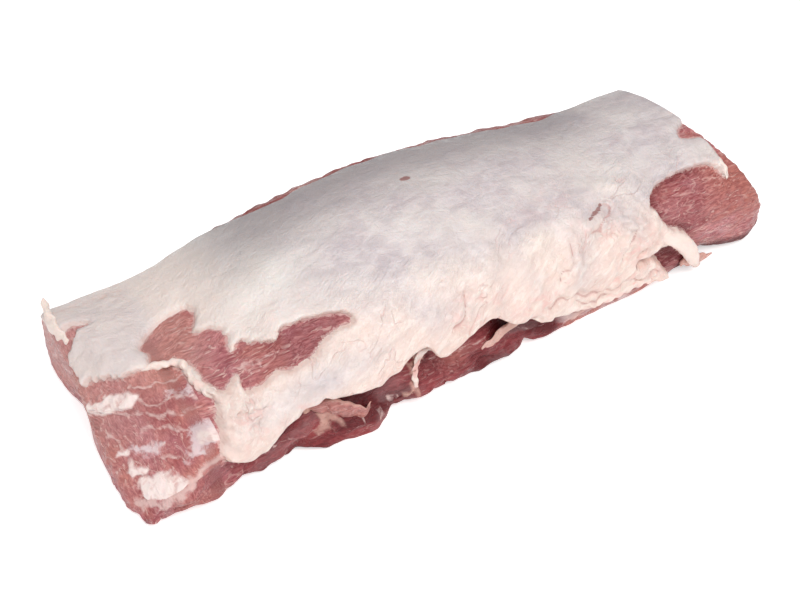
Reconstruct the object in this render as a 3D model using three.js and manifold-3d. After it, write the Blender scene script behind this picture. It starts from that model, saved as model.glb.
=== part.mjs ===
// A boneless pork loin, trimmed and laid flat: one long lean muscle with a fat cap
// draped over its top and front. Millimetres; +X runs to the far end, -Y is the
// front side where the cap overhangs, +Z is up and the loin lies on z = 0.
import * as THREE from 'three';
import Module from 'manifold-3d';

const wasm = await Module();
wasm.setup();

// The tables are laid out on a loin 451 mm long; this factor brings it to its true 420 mm.
const trueSize = 0.93;

// Stations along the loin: x, front edge y, back edge y, top z, height of the centre line.
const stations = [
  [-215, -80, 96, 43.5, 22],
  [-160, -75, 78, 55, 26],
  [-100, -71, 82, 76, 30],
  [-30, -71, 81, 89, 31],
  [40, -69, 77.5, 87.5, 31],
  [110, -66, 72, 79, 30],
  [170, -64, 71, 77, 28],
  [215, -63.5, 69, 77, 26],
];
const roundness = { topFront: 2.3, topBack: 2.6, under: 6 }; // exponents of the section's quarters
const underDepth = 5;        // how far the round section is sunk before the flat rest cuts it
const coreNear = -172;       // the section rays fan out beyond these two x values
const coreFar = 182;
const capRadius = 40;        // millimetres of length parameter per radian of that fan
const edgeSharpness = 30;    // higher is a crisper edge between skin and cut faces
const restDepth = 0.35;      // the rest plane is met this far under z = 0, then flattened
const cuts = [               // cut faces: outward normal, a point on the face
  { normal: [-1, 0.03, 0.04], point: [-218.8, 0, 0] },         // square near end
  { normal: [-0.68, -0.23, 0.69], point: [-216, -30, 17] },   // slanting near cut
  { normal: [1, 0.13, 0.5], point: [198.5, -10, 62] },          // far end
  { normal: [0.55, -0.75, -0.28], point: [215, -66, 16] },    // far front corner
];

const coatDepth = 2.6;        // the lean lies this far under the outline where the cap covers it
const capOut = 3.2;          // the cap's outer face above the covered lean
const capIn = 1.6;           // the cap's inner face below it
const gap = 0.3;             // clearance between the lean and the cap

// Edges of the cap, in degrees round the section (0 back, 90 top, 180 front).
const backEdge = [[-235, 14], [-150, 13], [-112, 26], [-85, 41], [-60, 45], [0, 46], [60, 49], [110, 50],
  [145, 44], [200, 38]];
const frontEdge = [[-235, 199], [-195, 194], [-182, 181], [-170, 177], [-156, 183], [-140, 178], [-125, 173],
  [-110, 172.5], [-98, 177], [-85, 179], [-70, 178], [-58, 172.5], [-45, 170], [-36, 179], [-25, 178],
  [-10, 171], [0, 170], [12, 177], [25, 182], [38, 185.5], [50, 188], [75, 191], [100, 194], [122, 195],
  [140, 198], [200, 199]];
const capRange = [-223, 189];

// Relief of the lean: x, degrees, reach along x, reach in degrees, height (minus is a hollow).
const relief = [
  [-152, 194, 9, 9, -4],      // nick in the front strip
  [-88, 198, 20, 10, 9],   // torn flap standing out low down
  [-62, 186, 10, 14, -3.5],
  [-20, 192, 22, 9, 2.5],
  [186, 166, 26, 16, 1],      // round of the bare eye at the far end
  [175, 204, 18, 13, -12],    // its underside lifts off the rest
  [138, 186, 16, 8, -7],      // hollow under the curled fat
  [-191, 197, 12, 8, -3.5],     // low corner of the near end, rounded off
  [-168, 199, 11, 7, -2],
];
// Depth of the groove under the cap's front edge.
const groove = [[-235, 0], [-170, 1], [-150, 6], [-120, 9], [-50, 9], [0, 7], [40, 5], [90, 2.5], [130, 1],
  [200, 0]];
const endHollow = { at: [-213, 28, 4], reach: 20, depth: 7 };  // scoop low in the near end

// The edge of the cap across the near end, as y, z.
const nearTrim = [
  [110, -5], [110, 16], [100, 20], [92, 24], [85, 27.5], [75, 33.5], [68, 39], [61, 44.5], [54, 45],
  [47.5, 45], [42, 45], [36.5, 44], [33, 41.3], [26, 37.7], [20, 36], [12, 34.5], [11, 36.5], [9, 38.5],
  [5, 40.5], [1, 43], [-4, 45.5], [-8, 49], [-11, 52], [-12, 54], [-16, 57], [-22, 60], [-32, 61],
  [-44, 60], [-60, 58], [-80, 50], [-95, 28], [-95, -5],
];
const nearTrimReach = [-270, -170.5];

// Places where the cap is cut through to the lean, as length parameter, degrees.
const windows = [
  // long bare patch behind the slanting cut
  [
    [-184, 78], [-173, 63], [-165, 57], [-158, 57], [-148, 64], [-147, 77], [-151, 89], [-152, 100],
    [-146, 103], [-142, 110], [-140, 122], [-143, 135], [-138, 132], [-134, 132], [-132, 136], [-128, 137],
    [-122, 141], [-115, 137], [-102, 138], [-90, 140], [-82, 143], [-79, 146], [-83, 148], [-89, 148],
    [-98, 150], [-108, 155], [-120, 156], [-127, 154], [-135, 156], [-144, 157], [-147, 155], [-146, 151],
    [-147, 148], [-155, 153], [-159, 150], [-162, 144], [-162, 134], [-164, 125], [-169, 115], [-173, 117],
    [-184, 112], [-182, 94], [-186, 85]],
  // bare corner at the near end
  [
    [-232, 12], [-205, 12], [-196, 12.5], [-195.5, 17], [-199.5, 24], [-199, 27], [-196, 30.5],
    [-191.5, 32.5], [-193.5, 35.5], [-198, 37.5], [-202, 35.5], [-205, 31.5], [-207, 29], [-211, 28.3],
    [-215, 31], [-232, 34]],
  // side of the slanting cut
  [
    [-232, 110], [-200, 112], [-187, 116], [-177, 120.5], [-171, 125], [-168.5, 131], [-168, 138],
    [-167.8, 145], [-166, 149.5], [-162.5, 153.5], [-162.5, 157.5], [-165, 161], [-166.5, 164],
    [-168.5, 168], [-171, 170.5], [-175, 173.5], [-178, 176.5], [-184, 182], [-192, 189], [-205, 196],
    [-232, 200]],
  // bare eye at the far end
  [
    [130, 145.5], [135, 142.3], [145, 140], [154, 139], [170, 139], [179, 140], [183, 142], [185.5, 146],
    [186.5, 151], [190, 151], [215, 151], [215, 206], [176, 206], [168, 197], [161, 186], [155, 177.5],
    [148, 170], [139, 166], [133, 161], [130, 154], [127.5, 149.5]],
  // small patch on the far shoulder
  [
    [178, 115.5], [181, 110.5], [185, 108], [190, 104], [215, 104], [215, 122.5], [190, 122.5],
    [185, 120.5], [181, 118.5]],
  // mouth of the hollow under the curled fat
  [
    [119, 178], [125, 176.8], [133, 176.8], [141, 177], [147, 183], [153, 189], [159, 196], [163, 203],
    [146, 203], [143, 198], [137, 191.5], [131, 185.5], [125, 180.5]],
];

// Rolls of fat along the edges: length parameter, degrees, height over the outline, half
// width, half thickness. The first curls over the hollow at the far end.
const fold = [
  [128, 168, -1.4, 2.6, 1.8], [135, 170, 0.5, 4.4, 2.8], [143, 174, 1.5, 5.4, 3.3],
  [149, 178.5, 1.9, 5.6, 3.5], [155, 185, 1.8, 5.2, 3.4], [160, 191.5, 1.2, 4.3, 3],
  [163, 197, 0.3, 2.8, 2.2],
];
// Thin tip under the curl.
const tip = [
  [152, 194, -2.2, 3.4, 1.8], [160, 194.5, -0.8, 4.2, 2.2], [166, 194.5, 0, 4.2, 2.1],
  [171, 195.5, 0.2, 3.4, 1.6], [175, 195.5, 0.3, 1.9, 1], [178, 194.5, 0.6, 0.7, 0.6],
];
// Lower lip of the front fat, folded under.
const lip = [
  [50, 187, -1.6, 1.4, 0.9], [66, 189.5, -0.4, 2.4, 1.5], [83, 191.5, 0, 3, 1.8], [98, 192.5, 0, 3.2, 1.9],
  [114, 192, 0, 3, 1.8], [128, 195, -0.3, 2.6, 1.6], [141, 198.5, -0.8, 1.8, 1.2],
];
// Last point of fat over the bare eye.
const point = [
  [186.5, 137, -1.4, 2.4, 1.6], [187.6, 142, -0.8, 2.4, 1.8], [188, 146, -0.9, 2, 1.6],
  [188, 149.5, -1.2, 1.3, 1.1], [187.6, 152.5, -1.9, 0.6, 0.6],
];
// Raised edge between the slanting cut and the bare patch behind it.
const rim = [
  [-192, 115, -2.4, 1.1, 0.9], [-185, 114.5, -0.7, 1.7, 1.3], [-178, 117.2, -0.6, 1.9, 1.5],
  [-172, 119, -0.7, 2, 1.5], [-168, 122.5, -0.7, 2.1, 1.6], [-166.2, 129, -0.8, 2.2, 1.7],
  [-165.8, 137, -0.8, 2.3, 1.7], [-165.6, 144, -0.8, 2.6, 1.8], [-163.6, 149.5, -0.9, 2.8, 1.8],
  [-160, 153.5, -1.8, 2.4, 1.4],
];
// Upturned corner at the near back end.
const horn = [
  [-182, 21, -1.4, 4.6, 1.6], [-186, 19, 1.2, 5.2, 2], [-188.6, 17.2, 4, 3.8, 1.8],
  [-190, 16.2, 6.8, 2, 1.3], [-190.8, 15.6, 9, 0.7, 0.7],
];

const leanRings = { ends: [0.3, 0.62, 0.88, 0.97, 1.12, 1.5], core: 38 };
const capGrid = { steps: 46, outer: 26 };   // the inner face has half as many columns
const shift = [-5.707, -3.0005, 0];        // centres the finished loin over the origin

const toRad = Math.PI / 180;
const clamp = (v, lo, hi) => Math.min(hi, Math.max(lo, v));
const smooth = (a, b, v) => { const s = clamp((v - a) / (b - a), 0, 1); return s * s * (3 - 2 * s); };

// Cubic through a table of rows, column c against column 0.
function follow(rows, x, c = 1) {
  const n = rows.length;
  const v = clamp(x, rows[0][0], rows[n - 1][0]);
  let i = 0;
  while (i < n - 2 && v > rows[i + 1][0]) i++;
  const slope = (k) => {
    const a = rows[Math.max(0, k - 1)], b = rows[Math.min(n - 1, k + 1)];
    return (b[c] - a[c]) / (b[0] - a[0]);
  };
  const h = rows[i + 1][0] - rows[i][0], t = (v - rows[i][0]) / h;
  const t2 = t * t, t3 = t2 * t;
  return (2 * t3 - 3 * t2 + 1) * rows[i][c] + (t3 - 2 * t2 + t) * h * slope(i)
    + (3 * t2 - 2 * t3) * rows[i + 1][c] + (t3 - t2) * h * slope(i + 1);
}

// Ray from the centre line to the outline: u is the length parameter, deg the angle round.
function ray(u, deg) {
  const x = clamp(u, coreNear, coreFar);
  const fan = clamp(Math.abs(u - x) / capRadius, 0, Math.PI / 2);
  const side = u < x ? -1 : 1;
  const front = follow(stations, x, 1), back = follow(stations, x, 2);
  const top = follow(stations, x, 3);
  const origin = new THREE.Vector3(x, (front + back) / 2, follow(stations, x, 4));
  const spread = Math.cos(fan), a = deg * toRad;
  const dir = new THREE.Vector3(side * Math.sin(fan), spread * Math.cos(a), spread * Math.sin(a));
  const half = (back - front) / 2;
  const rise = dir.z > 0 ? top - origin.z : origin.z + underDepth;
  const power = dir.z > 0 ? (dir.y < 0 ? roundness.topFront : roundness.topBack) : roundness.under;
  const round = ((Math.abs(dir.y) / half) ** power + (Math.abs(dir.z) / rise) ** power) ** (1 / power);
  let sum = round ** edgeSharpness + (Math.max(0, -dir.z) / (origin.z + restDepth)) ** edgeSharpness;
  for (const { normal, point } of cuts) {
    const n = new THREE.Vector3(...normal).normalize();
    const away = new THREE.Vector3(...point).sub(origin).dot(n);
    sum += Math.max(0, dir.dot(n) / Math.max(away, 0.001)) ** edgeSharpness;
  }
  return { origin, dir, reach: sum ** (-1 / edgeSharpness) };
}

// Length parameter at which the ray of this angle meets the first cut face of one end.
function cutEdge(side, deg) {
  const core = side < 0 ? coreNear : coreFar;
  const { origin, reach } = ray(core + side * 1e-6, deg);
  let fan = Math.PI / 2;
  for (const { normal, point } of cuts) {
    const n = new THREE.Vector3(...normal).normalize();
    if (n.x * side < 0.6) continue;
    const away = new THREE.Vector3(...point).sub(origin).dot(n);
    const tangent = (away / reach - n.y * Math.cos(deg * toRad) - n.z * Math.sin(deg * toRad)) / (n.x * side);
    fan = Math.min(fan, Math.atan(tangent));
  }
  return core + side * capRadius * clamp(fan, 0.12, 1.4);
}

function onRay(r, offset, lowest = 0) {
  const p = r.origin.clone().addScaledVector(r.dir, r.reach + offset);
  p.z = Math.max(p.z, lowest);
  return p;
}

// How much of the outline belongs to the cap: the lean under it is set back by this.
const coat = (u, deg) => coatDepth * smooth(8, 34, deg) * (1 - smooth(186, 200, deg)) * smooth(-200, -172, u);

function leanOffset(u, deg) {
  const r = ray(u, deg);
  let d = -coat(u, deg);
  for (const [x, at, alongX, around, height] of relief) {
    d += height * Math.exp(-(((u - x) / alongX) ** 2) - ((deg - at) / around) ** 2);
  }
  const edge = follow(frontEdge, u);
  d -= follow(groove, u) * smooth(edge - 6, edge + 1, deg) * (1 - smooth(edge + 4, 207, deg));
  const p = onRay(r, 0);
  const away = p.distanceTo(new THREE.Vector3(...endHollow.at)) / endHollow.reach;
  return { r, d: d - endHollow.depth * Math.exp(-away * away) };
}

// Soft lumps in the thick fat low on the front.
function lumps(u, deg) {
  const s = deg * 1.22;
  const wave = Math.sin(u * 0.19 + s * 0.11) + Math.sin(u * 0.083 - s * 0.21 + 1.3)
    + Math.sin(u * 0.31 + s * 0.05 + 4.1) * 0.5;
  const thick = smooth(120, 165, deg);
  return wave * (0.12 + 0.5 * thick) + 0.9 * thick;
}

// Closed rings from one pole to the other; ring points run back, top, front, under.
function ringSolid(rings, poleA, poleB) {
  const n = rings[0].length, m = rings.length;
  const points = rings.flat();
  const faces = [];
  for (let i = 0; i + 1 < m; i++) {
    for (let j = 0; j < n; j++) {
      const k = (j + 1) % n;
      const a = i * n + j, b = i * n + k, c = a + n, d = b + n;
      faces.push(a, b, d, a, d, c);
    }
  }
  points.push(poleA, poleB);
  for (let j = 0; j < n; j++) {
    const k = (j + 1) % n;
    faces.push(m * n, k, j, m * n + 1, (m - 1) * n + j, (m - 1) * n + k);
  }
  return toManifold(points, faces);
}

function toManifold(points, faces) {
  let volume = 0;
  const cross = new THREE.Vector3();
  for (let f = 0; f < faces.length; f += 3) {
    volume += cross.crossVectors(points[faces[f + 1]], points[faces[f + 2]]).dot(points[faces[f]]);
  }
  const tris = Uint32Array.from(faces);
  if (volume < 0) {
    for (let f = 0; f < tris.length; f += 3) [tris[f + 1], tris[f + 2]] = [tris[f + 2], tris[f + 1]];
  }
  const verts = new Float32Array(points.length * 3);
  points.forEach((p, i) => p.toArray(verts, 3 * i));
  return new wasm.Manifold(new wasm.Mesh({ numProp: 3, vertProperties: verts, triVerts: tris }));
}

// The lean, grown by an allowance where it is used to cut the cap.
function leanSolid(grow) {
  const across = [];
  for (let d = 0; d < 200; d += 6.25) across.push(d);
  for (let d = 203; d < 358; d += 10.5) across.push(d);
  const nearEnd = coreNear - capRadius * Math.PI / 2, farEnd = coreFar + capRadius * Math.PI / 2;
  // length parameter of a ring round an end: below 1 on the cut face, above 1 on the side
  const endRing = (side, f) => (deg) => {
    const edge = cutEdge(side, deg);
    const [end, core] = side < 0 ? [nearEnd, coreNear] : [farEnd, coreFar];
    return f < 1 ? end + (edge - end) * f : edge + (core - edge) * (f - 1);
  };
  const us = leanRings.ends.map((f) => endRing(-1, f));
  for (let i = 0; i <= leanRings.core; i++) us.push(() => coreNear + (coreFar - coreNear) * i / leanRings.core);
  us.push(...leanRings.ends.map((f) => endRing(1, f)).reverse());
  const at = (u, deg) => {
    const { r, d } = leanOffset(u, deg);
    return onRay(r, d + grow);
  };
  return ringSolid(us.map((u) => across.map((deg) => at(u(deg), deg))), at(nearEnd, 0), at(farEnd, 0));
}

// The cap before trimming: crescent loops, outer face from back to front, inner face back again.
function capSheet() {
  const nOut = capGrid.outer, nIn = nOut / 2;
  const points = [], faces = [];
  const loop = nOut + 1 + nIn + 1;
  for (let i = 0; i <= capGrid.steps; i++) {
    const u = capRange[0] + (capRange[1] - capRange[0]) * i / capGrid.steps;
    const from = follow(backEdge, u), to = follow(frontEdge, u);
    for (let j = 0; j <= nOut; j++) {
      const deg = from + (to - from) * j / nOut;
      const rim = j === 0 || j === nOut ? -1.1 : 0;
      points.push(onRay(ray(u, deg), capOut - coat(u, Math.min(deg, 186)) + lumps(u, deg) + rim, 1.2));
    }
    for (let j = nIn; j >= 0; j--) {
      const deg = from + (to - from) * j / nIn;
      points.push(onRay(ray(u, deg), -capIn - coat(u, Math.min(deg, 186)), 1));
    }
  }
  for (let i = 0; i < capGrid.steps; i++) {
    for (let j = 0; j < loop; j++) {
      const k = (j + 1) % loop;
      const a = i * loop + j, b = i * loop + k, c = a + loop, d = b + loop;
      faces.push(a, b, d, a, d, c);
    }
  }
  for (const [base, flip] of [[0, false], [capGrid.steps * loop, true]]) {
    for (let j = 0; j < nIn; j++) {
      const inner = (q) => base + nOut + 1 + (nIn - q), outer = (q) => base + q;
      const set = [[inner(j), inner(j + 1), outer(2 * j + 2)], [inner(j), outer(2 * j + 2), outer(2 * j + 1)],
        [inner(j), outer(2 * j + 1), outer(2 * j)]];
      for (const [a, b, c] of set) faces.push(...(flip ? [a, c, b] : [a, b, c]));
    }
  }
  return toManifold(points, faces);
}

// A cutter that follows the rays: an outline in length parameter and degrees.
function rayCutter(outline) {
  const points = [], faces = [];
  const n = outline.length;
  for (const scale of [0.45, 1.5]) {
    for (const [u, deg] of outline) {
      const r = ray(u, deg);
      points.push(r.origin.clone().addScaledVector(r.dir, r.reach * scale));
    }
  }
  const flat = outline.map(([u, deg]) => new THREE.Vector2(u, deg));
  if (THREE.ShapeUtils.isClockWise(flat)) return rayCutter([...outline].reverse());
  for (const [a, b, c] of THREE.ShapeUtils.triangulateShape(flat, [])) {
    faces.push(a, b, c, n + a, n + c, n + b);
  }
  for (let i = 0; i < n; i++) {
    const k = (i + 1) % n;
    faces.push(i, n + k, k, i, n + i, n + k);
  }
  return toManifold(points, faces);
}

// A rounded strip laid along the surface.
function strip(rows, sides = 10) {
  const centre = rows.map(([u, deg, lift]) => onRay(ray(u, deg), lift, 2));
  const rings = rows.map(([u, deg, , wide, thick], i) => {
    const up = ray(u, deg).dir;
    const along = centre[Math.min(i + 1, rows.length - 1)].clone().sub(centre[Math.max(i - 1, 0)]).normalize();
    const across = new THREE.Vector3().crossVectors(up, along).normalize();
    const lift = new THREE.Vector3().crossVectors(along, across).normalize();
    const ring = [];
    for (let k = 0; k < sides; k++) {
      const a = (2 * Math.PI * k) / sides;
      const p = centre[i].clone().addScaledVector(across, Math.cos(a) * wide);
      p.addScaledVector(lift, Math.sin(a) * thick);
      p.z = Math.max(p.z, 1);
      ring.push(p);
    }
    return ring;
  });
  return ringSolid(rings, centre[0], centre[rows.length - 1]);
}

const nearShape = new THREE.Shape(nearTrim.map(([y, z]) => new THREE.Vector2(y, z)));
const trimDepth = nearTrimReach[1] - nearTrimReach[0];
const nearPrism = new THREE.ExtrudeGeometry(nearShape, { depth: trimDepth, bevelEnabled: false });

// Corners of a geometry merged into shared points; its x, y, z become y, z, x of the loin.
function prismSolid(geometry, start) {
  const position = geometry.getAttribute('position');
  const seen = new Map(), points = [], faces = [];
  for (let i = 0; i < position.count; i++) {
    const p = new THREE.Vector3(start + position.getZ(i), position.getX(i), position.getY(i));
    const key = p.toArray().map((v) => v.toFixed(3)).join();
    if (!seen.has(key)) { seen.set(key, points.length); points.push(p); }
    faces.push(seen.get(key));
  }
  return toManifold(points, faces);
}

function largest(solid) {
  return solid.decompose().reduce((a, b) => (b.volume() > a.volume() ? b : a));
}

let cap = capSheet().subtract(prismSolid(nearPrism, nearTrimReach[0]));
for (const outline of windows) cap = cap.subtract(rayCutter(outline));
for (const rows of [fold, tip, lip, point, rim, horn]) cap = cap.add(strip(rows));
cap = largest(cap.subtract(leanSolid(gap)));

function meshOf(name, solid, material) {
  const { vertProperties, triVerts } = solid.getMesh();
  const geometry = new THREE.BufferGeometry();
  geometry.setAttribute('position', new THREE.BufferAttribute(Float32Array.from(vertProperties), 3));
  geometry.setIndex(new THREE.BufferAttribute(Uint32Array.from(triVerts), 1));
  geometry.scale(trueSize, trueSize, trueSize);
  geometry.translate(...shift);
  geometry.computeVertexNormals();
  const mesh = new THREE.Mesh(geometry, material);
  mesh.name = name;
  return mesh;
}

const leanMeat = new THREE.MeshStandardMaterial({ color: 0xa8595a, roughness: 0.42, metalness: 0 });
const whiteFat = new THREE.MeshStandardMaterial({ color: 0xe6d8d4, roughness: 0.45, metalness: 0 });

const loin = new THREE.Group();
loin.add(meshOf('lean_loin', leanSolid(0), leanMeat));
loin.add(meshOf('fat_cap', cap, whiteFat));

export default loin;
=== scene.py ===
import bpy
import numpy as np
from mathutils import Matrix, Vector


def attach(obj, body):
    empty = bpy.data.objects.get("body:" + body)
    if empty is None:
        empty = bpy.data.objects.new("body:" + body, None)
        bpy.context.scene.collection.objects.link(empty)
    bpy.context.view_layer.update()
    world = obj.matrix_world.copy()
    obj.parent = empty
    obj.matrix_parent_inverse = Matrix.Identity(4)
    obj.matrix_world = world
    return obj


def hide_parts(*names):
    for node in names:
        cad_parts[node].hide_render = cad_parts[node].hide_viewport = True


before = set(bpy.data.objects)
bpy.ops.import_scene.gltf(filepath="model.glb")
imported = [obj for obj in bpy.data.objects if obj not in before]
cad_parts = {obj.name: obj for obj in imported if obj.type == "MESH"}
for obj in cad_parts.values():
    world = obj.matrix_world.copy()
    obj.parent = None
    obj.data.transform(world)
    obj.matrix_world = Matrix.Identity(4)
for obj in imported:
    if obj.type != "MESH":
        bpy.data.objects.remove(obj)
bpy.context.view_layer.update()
print("frame loaded")

# The loin is planned in millimetres, 451 long, then brought to its true size and centred.
# u runs along the loin (it fans over the ends), deg runs round it: 0 back, 90 top, 180 front.
# A band of four numbers rises over its first two and falls over its last two.
plan = {
    "trueSize": 0.93,
    "shift": (-5.707, -3.0005, 0.0),
    # x, front edge y, back edge y, top z, height of the centre line
    "stations": [
        (-215, -80, 96, 43.5, 22), (-160, -75, 78, 55, 26), (-100, -71, 82, 76, 30),
        (-30, -71, 81, 89, 31), (40, -69, 77.5, 87.5, 31), (110, -66, 72, 79, 30), (170, -64, 71, 77, 28),
        (215, -63.5, 69, 77, 26)],
    # powers of the section in its quarters, and how far its lower part would reach below the rest
    "topFront": 2.3, "topBack": 2.6, "under": 6.0, "underDepth": 5.0,
    "coreNear": -172.0, "coreFar": 182.0, "capRadius": 40.0,
    "sharpness": 30.0, "restDepth": 0.35,
    # cut faces: outward normal, point on the face
    "cuts": [((-1, 0.03, 0.04), (-218.8, 0, 0)), ((-0.68, -0.23, 0.69), (-216, -30, 17)),
             ((1, 0.13, 0.5), (198.5, -10, 62)), ((0.55, -0.75, -0.28), (215, -66, 16))],
    "endFacing": 0.6,           # least share of a normal along the loin that makes the cut an end face
    "fanRange": (0.12, 1.4),
    # the lean lies a little deeper where the fat covers it
    "coatDepth": 2.6, "coatRound": (8, 34, 186, 200), "coatAlong": (-200, -172),
    "capOut": 3.2, "capIn": 1.6,
    "backEdge": [
        (-235, 14), (-150, 13), (-112, 25), (-85, 39.5), (-60, 43.5), (0, 45), (60, 46.5), (110, 47),
        (145, 43), (200, 38)],
    "frontEdge": [
        (-235, 199), (-195, 194), (-182, 181), (-170, 177), (-156, 183), (-140, 178), (-125, 173),
        (-110, 172.5), (-98, 177), (-85, 179), (-70, 178), (-58, 172.5), (-45, 170), (-36, 179),
        (-25, 178), (-10, 171), (0, 170), (12, 177), (25, 182), (38, 185.5), (50, 188), (75, 191),
        (100, 194), (122, 195), (140, 198), (200, 199)],
    # depth of the groove under the front edge of the fat, and the angle where it ends
    "groove": [(-235, 0), (-170, 1), (-150, 6), (-120, 9), (-50, 9), (0, 7), (40, 5), (90, 2.5), (130, 1),
               (200, 0)],
    "grooveEnd": 207,
    # hollows and swells of the lean: u, deg, reach along, reach in degrees, height
    "relief": [
        (-152, 194, 9, 9, -4), (-88, 198, 20, 10, 9), (-62, 186, 10, 14, -3.5), (-20, 192, 22, 9, 2.5),
        (186, 166, 26, 16, 1), (175, 204, 18, 13, -12), (138, 186, 16, 8, -7), (-191, 197, 12, 8, -3.5),
        (-168, 199, 11, 7, -2)],
    "endHollow": ((-213, 28, 4), 20.0, 7.0),
}
degToMm = 1.15                  # rough millimetres of skin per degree
skinUnits = (1, degToMm)        # brings u and degrees to millimetres
outOfReach = 1e9


# Smooth step: 0 at low, 1 at high, 3s^2 - 2s^3 between. Low may be the larger of the two.
def smooth(low, high, v):
    s = np.clip((v - low) / (high - low), 0, 1)
    return s * s * (3 - 2 * s)


# Rises from a to b and falls from c to d, as the product of two smooth steps.
def band(v, a, b, c, d):
    return smooth(a, b, v) * smooth(d, c, v)


# Round bump: exp(-(distance / reach)^2) in two directions, 1 in its middle.
def mound(a, b, midA, midB, reachA, reachB):
    return np.exp(-(((a - midA) / reachA) ** 2) - ((b - midB) / reachB) ** 2)


# Mounds from rows of middle, middle, reach, reach, height: all of them added.
def moundSum(a, b, rows):
    return sum(height * mound(a, b, *place) for *place, height in rows)


# The same rows, but the highest mound counts.
def moundTop(a, b, rows):
    return np.max([height * mound(a, b, *place) for *place, height in rows], axis=0)


# Quarter circle: 0 at 0, rising to 1 at 1 and staying there.
def quarterRound(t):
    return np.sqrt(np.clip(1 - (1 - np.clip(t, 0, 1)) ** 2, 0, 1))


# Cubic from a to b for t from 0 to 1, with the slopes given at its ends.
def cubic(t, a, b, slopeA, slopeB):
    return ((2 * t**3 - 3 * t**2 + 1) * a + (t**3 - 2 * t**2 + t) * slopeA
            + (3 * t**2 - 2 * t**3) * b + (t**3 - t**2) * slopeB)


# Cubic through a table of rows: value in column c at x, slopes taken across each knot.
def follow(rows, x, c=1):
    table = np.asarray(rows, float)
    xs, ys = table[:, 0], table[:, c]
    v = np.clip(x, xs[0], xs[-1])
    i = np.searchsorted(xs[1:-1], v, side="left")
    k = np.arange(len(xs))
    after, before = np.minimum(k + 1, len(xs) - 1), np.maximum(k - 1, 0)
    slope = (ys[after] - ys[before]) / (xs[after] - xs[before])
    h = xs[i + 1] - xs[i]
    return cubic((v - xs[i]) / h, ys[i], ys[i + 1], h * slope[i], h * slope[i + 1])


# Unit normal of a cut face, and how far the face is from the origin along it.
def cutPlane(normal, point, origin):
    n = np.array(normal, float) / np.linalg.norm(normal)
    return n, (np.array(point, float) - origin) @ n


# Ray from the centre line to the outline. The section is a superellipse with its own
# width, height and power in each quarter; cut faces and the rest join it by a power mean.
def ray(u, deg):
    u, deg = np.broadcast_arrays(np.asarray(u, float), np.asarray(deg, float))
    x = np.clip(u, plan["coreNear"], plan["coreFar"])
    fan = np.clip(np.abs(u - x) / plan["capRadius"], 0, np.pi / 2)
    side = np.where(u < x, -1.0, 1.0)
    front, back, top, mid = (follow(plan["stations"], x, c) for c in (1, 2, 3, 4))
    origin = np.stack([x, (front + back) / 2, mid], -1)
    a = np.radians(deg)
    way = np.stack([side * np.sin(fan), np.cos(fan) * np.cos(a), np.cos(fan) * np.sin(a)], -1)
    across, up = way[..., 1], way[..., 2]
    rise = np.where(up > 0, top - mid, mid + plan["underDepth"])
    power = np.where(up > 0, np.where(across < 0, plan["topFront"], plan["topBack"]), plan["under"])
    half = (back - front) / 2
    section = ((np.abs(across) / half) ** power + (np.abs(up) / rise) ** power) ** (1 / power)
    p = plan["sharpness"]
    total = section**p + (np.maximum(0, -up) / (mid + plan["restDepth"])) ** p
    for normal, point in plan["cuts"]:
        n, away = cutPlane(normal, point, origin)
        total = total + np.maximum(0, (way @ n) / np.maximum(away, 0.001)) ** p
    return origin, way, total ** (-1 / p)


# Length parameter at which a ray of this angle meets the first cut face of one end: the fan
# angle whose tangent is the distance to the face over the reach, less the face's slant.
def cutEdge(side, deg):
    core = plan["coreNear"] if side < 0 else plan["coreFar"]
    origin, _, reach = ray(core + side * 1e-6, deg)
    a = np.radians(deg)
    fan = np.full(np.shape(deg), np.pi / 2)
    for normal, point in plan["cuts"]:
        n, away = cutPlane(normal, point, origin)
        if n[0] * side > plan["endFacing"]:
            slant = n[1] * np.cos(a) + n[2] * np.sin(a)
            fan = np.minimum(fan, np.arctan((away / reach - slant) / (n[0] * side)))
    return core + side * plan["capRadius"] * np.clip(fan, *plan["fanRange"])


# How deep the lean lies below the outline, under the fat.
def coat(u, deg):
    return plan["coatDepth"] * band(deg, *plan["coatRound"]) * smooth(*plan["coatAlong"], u)


# Soft noise with one main wavelength: sines along seeded directions, spread near 1.
def ripple(points, size, seed, stretch=(1, 1, 1), count=12):
    rng = np.random.default_rng(seed)
    aim = rng.normal(size=(count, 3))
    aim /= np.linalg.norm(aim, axis=1, keepdims=True)
    waves = aim * (2 * np.pi / size) * rng.uniform(0.7, 1.4, (count, 1)) / np.array(stretch)
    out = np.zeros(points.shape[:-1])
    for w, phase in zip(waves, rng.uniform(0, 2 * np.pi, count)):
        out += np.sin(points @ w + phase)
    return out / np.sqrt(count / 2)


# Several ripples added: rows of height, wavelength, seed.
def ripples(points, rows):
    return sum(height * ripple(points, size, seed) for height, size, seed in rows)


# Height of the lean over the outline: hollows and swells as round bumps, a groove under
# the cap's front edge and a scoop in the near end.
def leanHeight(u, deg, origin, way, reach):
    edge = follow(plan["frontEdge"], u)
    groove = follow(plan["groove"], u) * band(deg, edge - 6, edge + 1, edge + 4, plan["grooveEnd"])
    centre, size, depth = plan["endHollow"]
    far = np.linalg.norm(origin + way * reach[..., None] - np.array(centre, float), axis=-1) / size
    return moundSum(u, deg, plan["relief"]) - coat(u, deg) - groove - depth * np.exp(-far * far)


# Point at a height over the outline, never lower than the given z.
def onRay(origin, way, reach, height, lowest=0.0):
    p = origin + way * (reach + height)[..., None]
    p[..., 2] = np.maximum(p[..., 2], lowest)
    return p


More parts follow.
